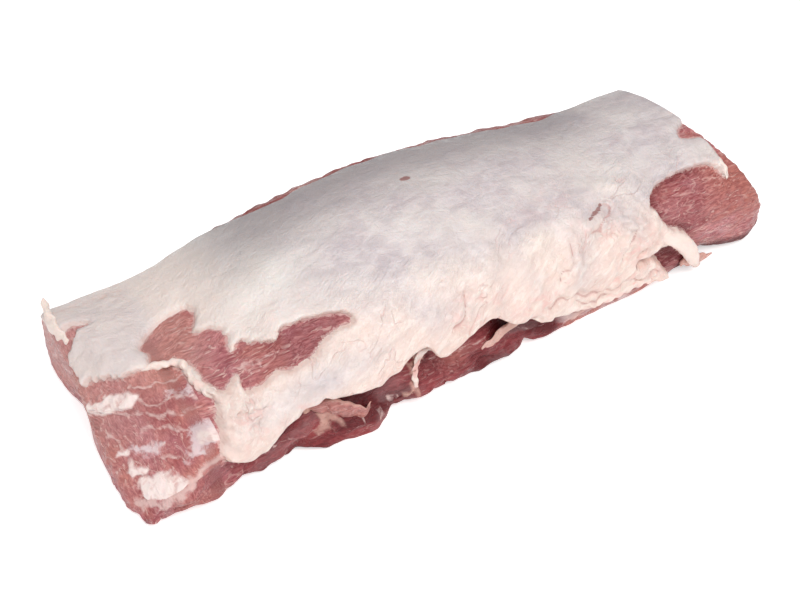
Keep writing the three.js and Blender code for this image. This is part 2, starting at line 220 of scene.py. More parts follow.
# Distance to the nearest of several straight pieces: the foot on each is held between its ends.
def pieceDistance(px, py, starts, ends):
    best = np.full(px.shape, outOfReach)
    for (ax, ay), (bx, by) in zip(starts, ends):
        ex, ey = bx - ax, by - ay
        t = np.clip(((px - ax) * ex + (py - ay) * ey) / (ex * ex + ey * ey + 1e-12), 0, 1)
        best = np.minimum(best, np.hypot(px - ax - t * ex, py - ay - t * ey))
    return best


# Signed distance to an outline, in its own units: positive where a line to one side crosses
# the outline an odd number of times.
def inside(px, py, outline):
    pts = np.asarray(outline, float)
    nextPts = np.roll(pts, -1, 0)
    odd = np.zeros(px.shape, bool)
    for (ax, ay), (bx, by) in zip(pts, nextPts):
        rise = by - ay if by != ay else 1e-9
        odd ^= ((ay > py) != (by > py)) & (px < (bx - ax) * (py - ay) / rise + ax)
    best = pieceDistance(px, py, pts, nextPts)
    return np.where(odd, best, -best)


# A rounder outline through the same corners: a cubic between each pair, whose slopes are no
# longer than the shorter side at that corner.
def rounded(outline, steps=3):
    p = np.asarray(outline, float)
    before, after = p - np.roll(p, 1, 0), np.roll(p, -1, 0) - p
    shorter = np.minimum(np.linalg.norm(before, axis=1), np.linalg.norm(after, axis=1))[:, None]
    slope = before + after
    slope = slope / (np.linalg.norm(slope, axis=1)[:, None] + 1e-9) * shorter
    t = (np.arange(steps) / steps)[None, :, None]
    ends = (v[:, None] for v in (p, np.roll(p, -1, 0), slope, np.roll(slope, -1, 0)))
    return cubic(t, *ends).reshape(-1, 2)


# Depth into the deepest of several rounded outlines.
def insideAny(px, py, outlines, units=(1, 1)):
    return np.max([inside(px, py, rounded(outline) * units) for outline in outlines], axis=0)


# Half width less the distance to the nearest of several lines, positive on a line.
def onAnyLine(px, py, lines, half, units=(1, 1)):
    lines = [np.array(line, float) * units for line in lines]
    return half - np.min([pieceDistance(px, py, line[:-1], line[1:]) for line in lines], axis=0)


# Plan millimetres to metres in the frame.
def toScene(points):
    return (points * plan["trueSize"] + np.array(plan["shift"])) / 1000


# Puts points and faces (arrays of quads or triangles) into a mesh. The sum of the corners'
# triple products is the volume: where it is negative the faces are turned to point outwards.
def layMesh(name, points, faceSets, masks, paint):
    tris = np.concatenate([f[:, [0, k, k + 1]] for f in faceSets for k in range(1, f.shape[1] - 1)])
    a, b, c = (points[tris[:, k]] for k in range(3))
    turn = -1 if np.einsum("ij,ij->i", a, np.cross(b, c)).sum() < 0 else 1
    faces = [face for f in faceSets for face in f[:, ::turn].tolist()]
    mesh = bpy.data.meshes.new(name)
    mesh.from_pydata(toScene(points).tolist(), [], faces)
    for key, values in masks.items():
        layer = mesh.attributes.new(key, "FLOAT", "POINT")
        layer.data.foreach_set("value", np.asarray(values, np.float32).ravel())
    mesh.polygons.foreach_set("use_smooth", np.ones(len(mesh.polygons), bool))
    mesh.update()
    piece = bpy.data.objects.new(name, mesh)
    bpy.context.scene.collection.objects.link(piece)
    piece.data.materials.append(paint)
    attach(piece, "root")
    print(name, len(faces), "faces")
    return piece


# Quads between m closed rings of n points.
def ringQuads(m, n):
    i, j = np.arange(m - 1)[:, None] * n, np.arange(n)
    k = (j + 1) % n
    return np.stack([i + j, i + k, i + n + k, i + n + j], -1).reshape(-1, 4)


# The same with a fan of triangles to a pole at each end; the poles are the last two points.
def ringFaces(m, n):
    j = np.arange(n)
    k = (j + 1) % n
    first, last = np.full(n, m * n), (m - 1) * n
    fans = [np.stack([first, k, j], -1), np.stack([first + 1, last + j, last + k], -1)]
    return [ringQuads(m, n), np.concatenate(fans)]


# Where the fat is missing.
bareSpots = {
    # outlines in u and degrees
    "places": {
        "window": [
            (-184, 78), (-173, 63), (-165, 57), (-158, 57), (-148, 64), (-147, 77), (-151, 89),
            (-152, 100), (-146, 103), (-142, 110), (-140, 122), (-143, 135), (-138, 132), (-134, 132),
            (-132, 136), (-128, 137), (-122, 141), (-115, 137), (-102, 138), (-90, 140), (-82, 143),
            (-79, 146), (-83, 148), (-89, 148), (-98, 150), (-108, 155), (-120, 156), (-127, 154),
            (-135, 156), (-144, 157), (-147, 155), (-146, 151), (-147, 148), (-155, 153), (-159, 150),
            (-162, 144), (-162, 134), (-164, 125), (-169, 115), (-173, 117), (-184, 112), (-182, 94),
            (-186, 85)],
        "eye": [
            (130, 145.5), (135, 142.3), (145, 140), (154, 139), (170, 139), (179, 140), (183, 142),
            (185.5, 146), (186.5, 151), (190, 151), (240, 151), (240, 206), (176, 206), (168, 197),
            (161, 186), (155, 177.5), (148, 170), (139, 166), (133, 161), (130, 154), (127.5, 149.5)],
        "shoulder": [
            (178, 115.5), (181, 110.5), (185, 108), (190, 104), (240, 104), (240, 122.5), (190, 122.5),
            (185, 120.5), (181, 118.5)],
        "hollow": [
            (110, 178.6), (118, 177.2), (125, 176.8), (133, 176.8), (141, 177), (147, 183), (153, 189),
            (159, 196), (163, 203), (146, 203), (143, 198), (137, 191.5), (131, 185.5), (125, 181),
            (118, 180)],
        "corner": [
            (-240, 12), (-205, 12), (-196, 12.5), (-195.5, 17), (-199.5, 24), (-199, 27), (-196, 30.5),
            (-191.5, 32.5), (-193.5, 35.5), (-198, 37.5), (-202, 35.5), (-205, 31.5), (-207, 29),
            (-211, 28.3), (-215, 31), (-240, 34)],
        "nearSide": [
            (-240, 110), (-200, 112), (-187, 116), (-177, 120.5), (-171, 125), (-168.5, 131), (-168, 138),
            (-167.8, 145), (-166, 149.5), (-162.5, 153.5), (-162.5, 157.5), (-165, 161), (-166.5, 164),
            (-168.5, 168), (-171, 170.5), (-175, 173.5), (-178, 176.5), (-184, 182), (-192, 189),
            (-205, 196), (-240, 200)],
    },
    # the near cut, as y and z: everything inside this line is bare
    "nearTrim": [
        (110, -5), (110, 16), (100, 20), (92, 24), (85, 27.5), (75, 33.5), (68, 39), (61, 44.5), (54, 45),
        (47.5, 45), (42, 45), (36.5, 44), (33, 41.3), (26, 37.7), (20, 36), (12, 34.5), (11, 36.5),
        (9, 38.5), (5, 40.5), (1, 43), (-4, 45.5), (-8, 49), (-11, 52), (-12, 54), (-16, 57), (-22, 60),
        (-32, 61), (-44, 60), (-60, 58), (-80, 50), (-95, 28), (-95, -5)],
    "nearTrimEnd": -170.5, "farEnd": 188.5,
}


# Depth in millimetres into the nearest bare place, negative under the fat.
def bareDepth(u, deg, skin):
    depth = insideAny(u, deg * degToMm, bareSpots["places"].values(), skinUnits)
    trim = inside(skin[..., 1], skin[..., 2], bareSpots["nearTrim"])
    return np.maximum(depth, np.minimum(trim, bareSpots["nearTrimEnd"] - skin[..., 0]))


# The lean body.
leanBody = {
    "nearRings": 54, "nearRoll": 16, "coreStep": 1.55, "farRoll": 16, "farRings": 36,
    # columns stand close together where the front strip and the openings show
    "frontColumns": 112, "restColumns": 118, "columnTurns": (98, 214, 458),
    # places of fat on the near cut, as y and z
    "fatIslands": [
        [(4, 29), (-1, 30.5), (-3, 33.5), (-1.5, 36.5), (-6, 39.2), (-11, 41), (-16, 42.5), (-20, 40.5),
         (-18.5, 37), (-13, 33), (-8, 29), (-3, 26.5), (3, 26.5)],
        [(-50, 15), (-51, 18.5), (-57, 23.5), (-63, 26), (-68, 26.5), (-71, 25), (-72, 22), (-70, 18),
         (-66, 14.5), (-62, 12), (-58, 10.5), (-55.5, 8), (-54, 12.5)],
        [(-36, 18), (-41, 20.5), (-48, 21), (-49.5, 18), (-45, 16), (-39, 16)],
        [(-28, 20), (-32, 23), (-36, 21.5), (-33, 19)],
        [(-57, 44.5), (-60, 41), (-65, 40), (-69, 42), (-75, 44), (-75, 50), (-68, 49.5), (-62, 48.5)]],
    # patches of colour on the near cut: y, z, reach in y, reach in z, strength
    "spots": {
        "orange": [(-21, 51, 9, 4, 0.6), (-32, 54, 9, 3, 0.6), (-46, 45, 4, 5, 0.7), (-72, 38, 6, 9, 0.9),
                   (-26, 17, 7, 8, 0.8), (-41, 12, 8, 6, 0.8), (-56, 6, 9, 4, 0.9), (10, 22, 8, 12, 0.5),
                   (-70, 27, 6, 5, 0.6)],
        "red": [(-18, 44, 10, 4, 0.8), (-32, 47, 8, 3, 0.6), (-34, 41, 12, 3.5, 0.9), (-58, 53, 5, 5, 0.6),
                (-8, 36, 6, 5, 0.4), (-54, 42, 6, 3, 0.5), (-62, 30, 7, 3, 0.6)],
        "rosy": [(-17, 28, 9, 6, 0.8), (-32, 33, 9, 5, 0.7), (-20, 36, 8, 4, 0.5), (-50, 34, 8, 4, 0.5),
                 (-46, 27, 8, 4, 0.4)]},
    "fatSmears": [
        [(-34, 24), (-38, 28), (-45, 30.5), (-49, 31), (-46, 28), (-40, 25)],
        [(-30.5, 52), (-33.5, 54), (-37, 53), (-37.5, 49.5), (-34.5, 48), (-31.5, 49)],
        [(-53, 45), (-56, 40), (-61, 37), (-66, 38), (-66, 43), (-62, 47), (-56, 49)],
        [(-62, 36), (-66, 38), (-68, 36), (-64, 32.5)]],
    "seams": [
        [(-10, 43), (-18, 47), (-24, 51), (-30, 56)],
        [(-36, 50), (-41, 53), (-45, 53), (-45, 50), (-40, 48), (-36, 50)],
        [(-21, 41), (-27, 42), (-33, 46), (-38, 49)],
        [(-12, 31), (-19, 34), (-28, 38), (-36, 42), (-45, 46), (-50, 48)],
        [(-33, 33), (-37, 36), (-45, 40), (-53, 42)], [(-51, 28), (-60, 33), (-65, 34)],
        [(-17, 24), (-27, 23), (-35, 21)], [(-50, 15), (-52, 8), (-50, 3), (-48, 0)],
        [(14, 27), (30, 14), (44, 4), (50, 0)], [(30, 33), (52, 22), (74, 18)]],
    # the same on the far cut
    "farSeams": [[(-58, 12), (-30, 20), (-4, 27), (14, 32)], [(14, 32), (34, 30), (56, 20)],
                 [(-20, 66), (2, 58), (26, 60)], [(-46, 50), (-28, 44), (-12, 46)]],
    "farIslands": [[(14, 34), (24, 33), (36, 30), (34, 27), (22, 29), (12, 30)],
                   [(-40, 17), (-30, 21), (-22, 22), (-26, 18), (-36, 14)]],
    # on the front strip and in the openings, as u and degrees
    "sidePatches": [[(-49, 178), (-44, 176), (-43, 182), (-47, 190), (-52, 197), (-55, 196), (-51, 187)],
                    [(-112, 180), (-104, 178), (-100, 186), (-104, 194), (-112, 190)],
                    [(62, 194), (84, 195), (82, 199), (64, 198)]],
    "sideSeams": [[(-160, 190), (-140, 188), (-120, 192)], [(-100, 194), (-80, 193), (-60, 198)],
                  [(-40, 186), (-15, 184), (5, 188)], [(10, 196), (40, 194), (80, 199)],
                  [(-150, 144), (-132, 148), (-120, 151)]],
    "nearBorder": [(-170, 173.5), (-176, 175), (-178, 176.5), (-182, 181), (-188, 187), (-193, 193),
                   (-197, 197)],
    # half widths of the seams
    "seamHalf": 0.5, "farSeamHalf": 0.45, "sideSeamHalf": 0.4, "borderHalf": 1.1,
    # film on the parts out of sight: u, degrees, reach along, reach in degrees
    "flatMembrane": [(-150, 255, 34, 16), (-40, 285, 60, 18), (70, 262, 46, 14), (150, 300, 40, 20),
                     (-60, 8, 60, 14), (90, 12, 60, 12)],
    # ripples that bend the marks: height, wavelength, seed
    "warpY": [(0.9, 14, 11), (0.35, 5, 12)], "warpZ": [(0.8, 13, 13), (0.35, 5, 14)],
    "warpU": [(2.5, 16, 15), (1.2, 6, 16)], "warpDeg": [(1.6, 16, 17), (0.8, 6, 18)],
    # heights in millimetres of folds, ripples and marks
    "stripRag": 1.3, "stripFine": 0.6, "stripSink": 1.6, "foldDepth": 2.2, "bareGrain": 0.16,
    "bareFine": 0.25, "islandRise": 1.3, "islandLumps": 0.3, "smearRise": 0.4, "seamRise": 0.35,
    "patchRise": 0.8, "cordRise": 0.3, "sideRag": 0.3, "sideFine": 0.12, "sideSink": 0.5,
    # where marks begin and end: bands of x, u or degrees
    "nearCut": (-164, -169), "farCut": (186, 196), "offFace": 60.0, "calmStrip": (45, 70, 140, 155),
    "behindRound": (10, 34), "behindAlong": (-130, -100, 120, 150), "underside": (214, 224, 322, 334),
    # the hollow beside the bare eye, and the fresh cut on the strip: u, degrees, reaches
    "hollow": (136, 186, 19, 10), "freshCut": (-22, 187, 15, 8),
    "eyeAlong": (118, 126), "eyeRound": (136, 139, 172, 177),
    "lowerAlong": (50, 62, 140, 150), "lowerRound": (188, 193, 208, 214),
}


# Grid of u and degrees: even steps across both cut faces, rolls round their edges, and the core.
def leanGrid():
    s = leanBody
    a, b, c = s["columnTurns"]
    deg = np.concatenate([np.linspace(a, b, s["frontColumns"], endpoint=False),
                          np.linspace(b, c, s["restColumns"], endpoint=False)]) % 360
    core0, core1, cap = plan["coreNear"], plan["coreFar"], plan["capRadius"]
    near, far = cutEdge(-1, deg), cutEdge(1, deg)
    tip0, tip1 = core0 - cap * np.pi / 2, core1 + cap * np.pi / 2

    def column(low, high, count):
        return np.linspace(low, high, count)[:, None]

    middle = np.arange(core0 + s["coreStep"], core1 - 0.5, s["coreStep"])[:, None]
    u = np.concatenate([
        tip0 + cap * np.arctan(column(0.012, 1, s["nearRings"]) * np.tan((near - tip0) / cap)),
        near + (core0 - near) * column(0, 1, s["nearRoll"] + 1)[1:],
        middle + 0 * deg,
        core1 + (far - core1) * column(0, 1, s["farRoll"] + 1)[:-1],
        tip1 - cap * np.arctan(column(1, 0.015, s["farRings"]) * np.tan((tip1 - far) / cap))])
    return u, np.broadcast_to(deg, u.shape).copy()


# Height of the lean, with the marks that only a close look shows: folds and tears along
# the front strip, raised seams, swollen fat islands and the grain of the meat.
def leanDetail(u, deg, origin, way, reach):
    s = leanBody
    base = leanHeight(u, deg, origin, way, reach)
    skin = onRay(origin, way, reach, base)
    x = skin[..., 0]
    y, z = skin[..., 1] + ripples(skin, s["warpY"]), skin[..., 2] + ripples(skin, s["warpZ"])
    frontEdge, backEdge = follow(plan["frontEdge"], u), follow(plan["backEdge"], u)

    # marks on the cut faces
    below = band(deg, frontEdge - 1, frontEdge + 2, 214, 220) * smooth(-200, -193, u)
    onNear = smooth(*s["nearCut"], x) * (1 - below)
    offNear, offFar = s["offFace"] * (1 - onNear), s["offFace"] * (1 - smooth(*s["farCut"], x))
    island = np.maximum(insideAny(y, z, s["fatIslands"]) - offNear,
                        insideAny(y, z, s["farIslands"]) - offFar)
    smear = insideAny(y, z, s["fatSmears"]) - offNear
    seam = np.maximum(onAnyLine(y, z, s["seams"], s["seamHalf"]) - offNear,
                      onAnyLine(y, z, s["farSeams"], s["farSeamHalf"]) - offFar)

    # marks on the side
    uWarp, dWarp = u + ripples(skin, s["warpU"]), (deg + ripples(skin, s["warpDeg"])) * degToMm
    patch = insideAny(uWarp, dWarp, s["sidePatches"], skinUnits) - s["offFace"] * onNear
    cord = onAnyLine(uWarp, dWarp, s["sideSeams"], s["sideSeamHalf"], skinUnits) - s["offFace"] * onNear
    border = onAnyLine(0.7 * u + 0.3 * uWarp, deg * degToMm, [s["nearBorder"]], s["borderHalf"],
                       skinUnits)
    cord = np.maximum(cord, border)

    # how far the lean is bare; the back edge is at small angles, so turns count from the underside
    turned = (deg + 170) % 360 - 170
    bare = np.maximum(bareDepth(u, deg, skin), np.maximum(deg - frontEdge, backEdge - turned) * degToMm)
    bare = np.maximum(np.maximum(bare, u - bareSpots["farEnd"]), np.where(deg > 260, 40.0, -outOfReach))
    strip = band(deg, frontEdge - 2, frontEdge + 5, 206, 216) * smooth(175, 150, u) * (1 - 0.85 * onNear)

    rag = ripple(skin, 16, 5, (2.2, 1, 1))
    fine = ripple(skin, 6, 6, (2.0, 1, 1))
    grain = ripple(skin, 3.2, 7, (4.5, 1, 1))
    fold = 1 - smooth(0, 0.5, np.abs(ripple(skin, 26, 8, (2.6, 1, 1))))
    torn = s["stripRag"] * rag + s["stripFine"] * fine - s["stripSink"] - s["foldDepth"] * fold
    height = base + strip * (1 - 0.75 * band(u, *s["calmStrip"])) * torn
    height += smooth(-1, 3, bare) * (1 - strip) * (s["bareGrain"] * grain + s["bareFine"] * fine)
    height += smooth(-0.8, 2.2, island) * (s["islandRise"] + s["islandLumps"] * ripple(skin, 7, 61))
    height += s["smearRise"] * smooth(-1, 1.5, smear) + s["seamRise"] * smooth(-0.6, 0.6, seam)
    height += s["patchRise"] * smooth(-0.6, 1.6, patch) + s["cordRise"] * smooth(-0.5, 0.5, cord)
    # the lean stands level with the sheet where it shows behind it
    behind = smooth(-1, 3, backEdge - deg) * smooth(*s["behindRound"], deg) * band(u, *s["behindAlong"])
    height += behind * coat(u, deg)
    side = smooth(-14, 6, 22 - np.abs(deg - 20)) * (1 - onNear) * smooth(-200, -150, u)
    height += side * (s["sideRag"] * rag + s["sideFine"] * fine - s["sideSink"])
    # the underside stays plain, so that the loin lies flat
    underside = band(deg, *s["underside"])
    height = height * (1 - underside) + base * underside
    return height, skin, strip, {"bare": bare, "fatSpot": island, "smear": smear, "flap": patch,
                                 "seam": np.maximum(seam, cord)}


# Masks that only colour the lean: zones as products of bands, and the highest of them counts.
def leanColours(u, deg, skin, strip, bare):
    s = leanBody
    x, y, z = skin[..., 0], skin[..., 1], skin[..., 2]
    eye = smooth(*s["eyeAlong"], u) * band(deg, *s["eyeRound"])
    hollow, fresh = mound(u, deg, *s["hollow"]), mound(u, deg, *s["freshCut"]) * strip
    lower = band(u, *s["lowerAlong"]) * band(deg, *s["lowerRound"]) * smooth(0.5, 0.2, hollow)
    under = deg - follow(plan["frontEdge"], u)
    streaks = 0.6 + 0.35 * ripple(skin, 28, 22, (2, 1, 1)).clip(-1, 1)
    # darker, redder meat on the front strip, in the opening and on the eye, darker still near the fat's edge
    # on the eye; painted shade in the hollow beside the eye and a painted shadow in the band under the front
    # edge of the fat
    deepAndShade = np.max([
        0.45 * band(u, -150, -115, -75, -60) * smooth(165, 150, deg),
        eye * (0.28 + 0.5 * smooth(9, 0, bare) * smooth(182, 168, u)),
        0.8 * smooth(0.08, 0.6, hollow),
        band(under, -8, -1, 9, 25) * smooth(-162, -138, u),
        strip * (0.3 + 0.7 * smooth(-172, -148, u)) * streaks], axis=0)
    nearPale = smooth(-172, -178, x) * smooth(-60, -5, y) * smooth(2, 30, z)
    windowPale = band(u, -200, -190, -160, -142) * smooth(155, 120, deg)
    films = [mound(u, (deg - at + 180) % 360 - 180, mid, 0, along, around)
             for mid, at, along, around in s["flatMembrane"]]
    thinFilm = 0.16 * strip * smooth(-0.2, 0.9, ripple(skin, 30, 21, (2, 1, 1)))
    onCut = smooth(*s["nearCut"], x) * (1 - strip)
    spots = {key: moundTop(y, z, rows) * onCut for key, rows in s["spots"].items()}
    orange = np.max([spots["orange"], 0.7 * eye * smooth(160, 184, u), lower, 0.75 * fresh], axis=0)
    redStrip = 0.95 * smooth(-175, -150, u) * strip * (1 - lower) * (1 - fresh)
    return {
        "deepAndShade": deepAndShade * (1 - 0.7 * lower) * (1 - 0.6 * fresh),
        "pale": 0.9 * np.maximum(nearPale, windowPale),
        "film": np.max(films + [thinFilm, 1.2 * lower], axis=0), "nearCut": smooth(-172, -180, x),
        "backSide": smooth(52, 30, np.abs((deg + 170) % 360 - 180)) * smooth(-195, -170, u),
        "orange": orange, "rosy": spots["rosy"], "red": np.maximum(spots["red"], redStrip)}


# The closed body: rings of points over the grid, and a pole in the middle of each end.
def makeLean(paint):
    u, deg = leanGrid()
    origin, way, reach = ray(u, deg)
    height, skin, strip, masks = leanDetail(u, deg, origin, way, reach)
    points = onRay(origin, way, reach, height)
    poles = [points[0].mean(0), points[-1].mean(0)]
    masks |= leanColours(u, deg, skin, strip, masks["bare"])
    masks = {k: np.append(v.ravel(), [v[0].mean(), v[-1].mean()]) for k, v in masks.items()}
    allPoints = np.concatenate([points.reshape(-1, 3), poles])
    piece = layMesh("leanMeat", allPoints, ringFaces(*u.shape), masks, paint)
    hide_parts("lean_loin")


# The fat cap: a sheet over the lean, closed round its edges.
fatSheet = {
    "range": (-223.0, 189.0), "rows": 334, "across": 164, "lip": 2.4, "openLip": 2.2, "flatLip": 3.5,
    "sink": 1.3, "backJag": (0.5, 20, 32), "frontJag": (0.35, 9, 31),
    # swells and dents of the outside: u, deg, reach along, reach in degrees, height
    "swells": [
        (95, 165, 20, 10, 1.6), (118, 150, 16, 9, 1.2), (111, 158, 6, 5, 1.1), (124, 161, 6, 5, 0.9),
        (104, 163, 5, 4, 0.9), (70, 178, 22, 8, 1.3), (36, 172, 18, 9, 1.2), (2, 160, 20, 9, 0.9),
        (-40, 166, 16, 8, 1.1), (-118, 166, 26, 6, 0.8), (-60, 158, 22, 8, 0.8), (-158, 155, 5, 5, 1.1),
        (-160, 164, 7, 5, 1.0), (-151, 160, 8, 5, 0.8), (-140, 170, 14, 7, 0.9), (88, 139, 11, 5, -1.3),
        (60, 158, 12, 6, -1.0), (108, 174, 12, 6, -1.1), (20, 160, 10, 7, -0.8), (150, 131, 22, 6, 0.8),
        (-196, 40, 12, 14, 1.2)],
    # tufted places, in the same way
    "tufted": [(-155, 160, 17, 13, 1), (108, 157, 17, 10, 0.7)],
    # the small brown spot on the top and two faint ones: u, deg, reach along, reach in degrees, strength
    "bruises": [(-5, 79, 3.9, 1.9, 1.2), (20, 108, 3, 1, 0.25), (-150, 60, 3, 1.4, 0.3)],
    # folds pressed into the front fat and bruised slits, as u and degrees
    "creases": [
        [(2, 172), (12, 178), (22, 181), (33, 181.5)],
        [(37, 176), (50, 176), (60, 179), (71, 182), (86, 186), (98, 187.5), (113, 187), (131, 189),
         (142, 193)],
        [(60, 184), (75, 187), (88, 190)], [(-24, 166), (-18, 160), (-12, 153)],
        [(112, 172), (120, 168), (128, 166)], [(50, 168), (58, 160), (62, 152)],
        [(84, 152), (92, 146), (100, 142)], [(96, 172), (104, 163), (110, 156)]],
    "slits": [[(82, 144.5), (86, 143.4), (90, 142), (94.5, 140)],
              [(109, 178.8), (114, 178.4), (121, 178.4)]],
    "creaseHalf": 0.5, "creaseDepth": 1.5, "creaseBanks": 0.7, "ridgeHeight": 0.28,
    # pink stains: u, deg, reach along, reach in degrees, strength
    "stains": [
        (-14, 163, 18, 9, 0.55), (32, 172, 20, 7, 0.5), (84, 150, 14, 8, 0.45), (110, 166, 16, 10, 0.6),
        (96, 182, 22, 6, 0.5), (-112, 128, 26, 10, 0.16), (-128, 172, 18, 5, 0.35),
        (-152, 168, 10, 8, 0.45), (-62, 176, 16, 5, 0.4), (60, 128, 26, 12, 0.16), (130, 188, 12, 5, 0.5),
        (148, 166, 10, 6, 0.3)],
}


# Slow waves over the whole sheet, taller on the thick front: three sines of u and of the
# way round in millimetres.
def lumps(u, deg):
    v = deg * 1.22
    wave = np.sin(0.19 * u + 0.11 * v) + np.sin(0.083 * u - 0.21 * v + 1.3)
    wave = wave + 0.5 * np.sin(0.31 * u + 0.05 * v + 4.1)
    thick = smooth(120, 165, deg)
    return wave * (0.12 + 0.5 * thick) + 0.9 * thick


# Height of the outer face: cap height, swells, tufts, slanting ridges and pressed creases.
def fatTop(u, deg, skin):
    s = fatSheet
    stretch = smooth(120, 150, deg)
    top = plan["capOut"] - coat(u, np.minimum(deg, 186)) + lumps(u, deg) + moundSum(u, deg, s["swells"])
    top += (0.14 + 0.38 * stretch) * ripple(skin, 13, 35, (1.6, 1, 1))
    top += (0.04 + 0.2 * stretch) * ripple(skin, 5.5, 36, (1.6, 1, 1))
    top += moundTop(u, deg, s["tufted"]) * (1.5 * ripple(skin, 7, 63) + 0.6 * ripple(skin, 4, 64))
    ridge = np.sin(u * 0.42 - deg * 0.36 + 2.2 * ripple(skin, 30, 37))
    top += s["ridgeHeight"] * ridge * smooth(20, 60, u) * band(deg, 128, 150, 184, 192)
    uWarp, dWarp = u + 1.6 * ripple(skin, 15, 41), (deg + 1.2 * ripple(skin, 15, 42)) * degToMm
    crease = onAnyLine(uWarp, dWarp, s["creases"], s["creaseHalf"], skinUnits)
    top -= s["creaseDepth"] * smooth(-2.6, 0.4, crease)
    top += s["creaseBanks"] * band(crease, -6, -3, -3.2, -1.5)
    return top, crease


# Masks that only colour the fat: veil over the top, warm fat, stains, bruises and tufts.
def fatColours(u, deg, skin):
    s = fatSheet
    wander = 8 * ripple(skin, 34, 38)
    veil = smooth(-125, -70, u + wander) * smooth(172, 122, deg - 0.05 * u + wander)
    veil = veil * (0.82 + 0.18 * ripple(skin, 45, 39).clip(-1, 1))
    nearVeil = smooth(66, 30, np.hypot((u + 196) * 0.9, deg - 62)) * smooth(-160, -172, u)
    smoothStrip = mound(u, deg + (u + 106) * 0.06, -110, 164, 38, 6.5)
    slit = onAnyLine(u, deg * degToMm, s["slits"], 1.0 + 0.3 * ripple(skin, 5, 62), skinUnits)
    shaggy = np.maximum(smooth(118, 150, deg + 10 * ripple(skin, 40, 43) + 0.05 * u), 0.12)
    return {
        "veil": np.max([veil, 0.5 * nearVeil, 0.95 * smoothStrip], axis=0),
        "stain": moundTop(u, deg, s["stains"]),
        "bruise": np.maximum(moundTop(u, deg, s["bruises"]), 0.85 * smooth(-1.0, 0.6, slit)),
        "warm": np.maximum(smooth(120, 165, deg) * (1 - 0.6 * smoothStrip), 0.45 * smooth(-100, -150, u)),
        "shaggy": shaggy * (1 - 0.5 * smoothStrip) * smooth(-175, -150, u), "aroundDeg": deg, "alongU": u}


# Each row runs over the outer face and back along the inner one, which has half the columns.
# Both faces meet in a quarter round at the rim; over a bare place the sheet dives under the lean.
def makeFat(paint):
    s = fatSheet
    n = s["across"]
    uLine = np.linspace(*s["range"], s["rows"])[:, None]
    linePoints = uLine[..., None] * (1, 0, 0)

    def edge(key, jag):
        height, size, seed = s[jag]
        return follow(plan[key], uLine) + height * ripple(linePoints, size, seed, count=9)

    first, last = edge("backEdge", "backJag"), edge("frontEdge", "frontJag")
    u, deg = np.repeat(uLine, n + 1, 1), first + (last - first) * np.linspace(0, 1, n + 1)
    origin, way, reach = ray(u, deg)
    lean = leanHeight(u, deg, origin, way, reach)
    skin = onRay(origin, way, reach, lean)
    bare = bareDepth(u, deg, skin) + 0.4 * ripple(skin, 7, 33) + 0.2 * ripple(skin, 3, 34)
    top, crease = fatTop(u, deg, skin)
    under = coat(u, deg)
    inner = -plan["capIn"] - under
    gapSides = np.minimum(deg - first, last - deg) * degToMm
    gapEnds = np.minimum(u - s["range"][0], s["range"][1] - u)
    full = quarterRound(np.minimum(gapSides, gapEnds) / s["lip"])
    middle, half = (top + inner) / 2 - 0.5 * (1 - full), (top - inner) / 2
    # the lip is long and flat where the fat runs out on the top, short and thick at the front
    lipWidth = s["openLip"] + s["flatLip"] * smooth(142, 126, deg) * smooth(-198, -188, u)
    low = np.minimum(lean, -under) - s["sink"]
    outerHeight = low + (middle + half * full - low) * quarterRound(-bare / lipWidth)
    innerHeight = np.minimum(middle - half * full, outerHeight - 0.5 * full)

    def loop(outer, inner):
        return np.concatenate([outer, inner[:, 2:-1:2][:, ::-1]], 1)

    points = loop(onRay(origin, way, reach, outerHeight, 1.2), onRay(origin, way, reach, innerHeight, 1.0))
    m, w = points.shape[:2]
    # each end closes between the two faces: at every second column a the inner point is w - a / 2
    a = np.arange(0, n + 1, 2)
    inner = np.where((a == 0) | (a == n), a, w - a // 2)
    a0, a2, inner0, inner2 = a[:-1], a[1:], inner[:-1], inner[1:]
    ends = np.concatenate([np.stack([a0, a0 + 1, a2], -1), np.stack([a0, a2, inner2], -1)[:-1],
                           np.stack([a0, inner2, inner0], -1)[1:]])
    ends = np.concatenate([ends[:, ::-1], ends + (m - 1) * w])
    masks = {"rim": np.minimum(-bare, gapSides), "crease": crease} | fatColours(u, deg, skin)
    masks = {k: loop(v, v) for k, v in masks.items()}
    piece = layMesh("fatCover", points.reshape(-1, 3), [ringQuads(m, w), ends], masks, paint)
    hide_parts("fat_cap")


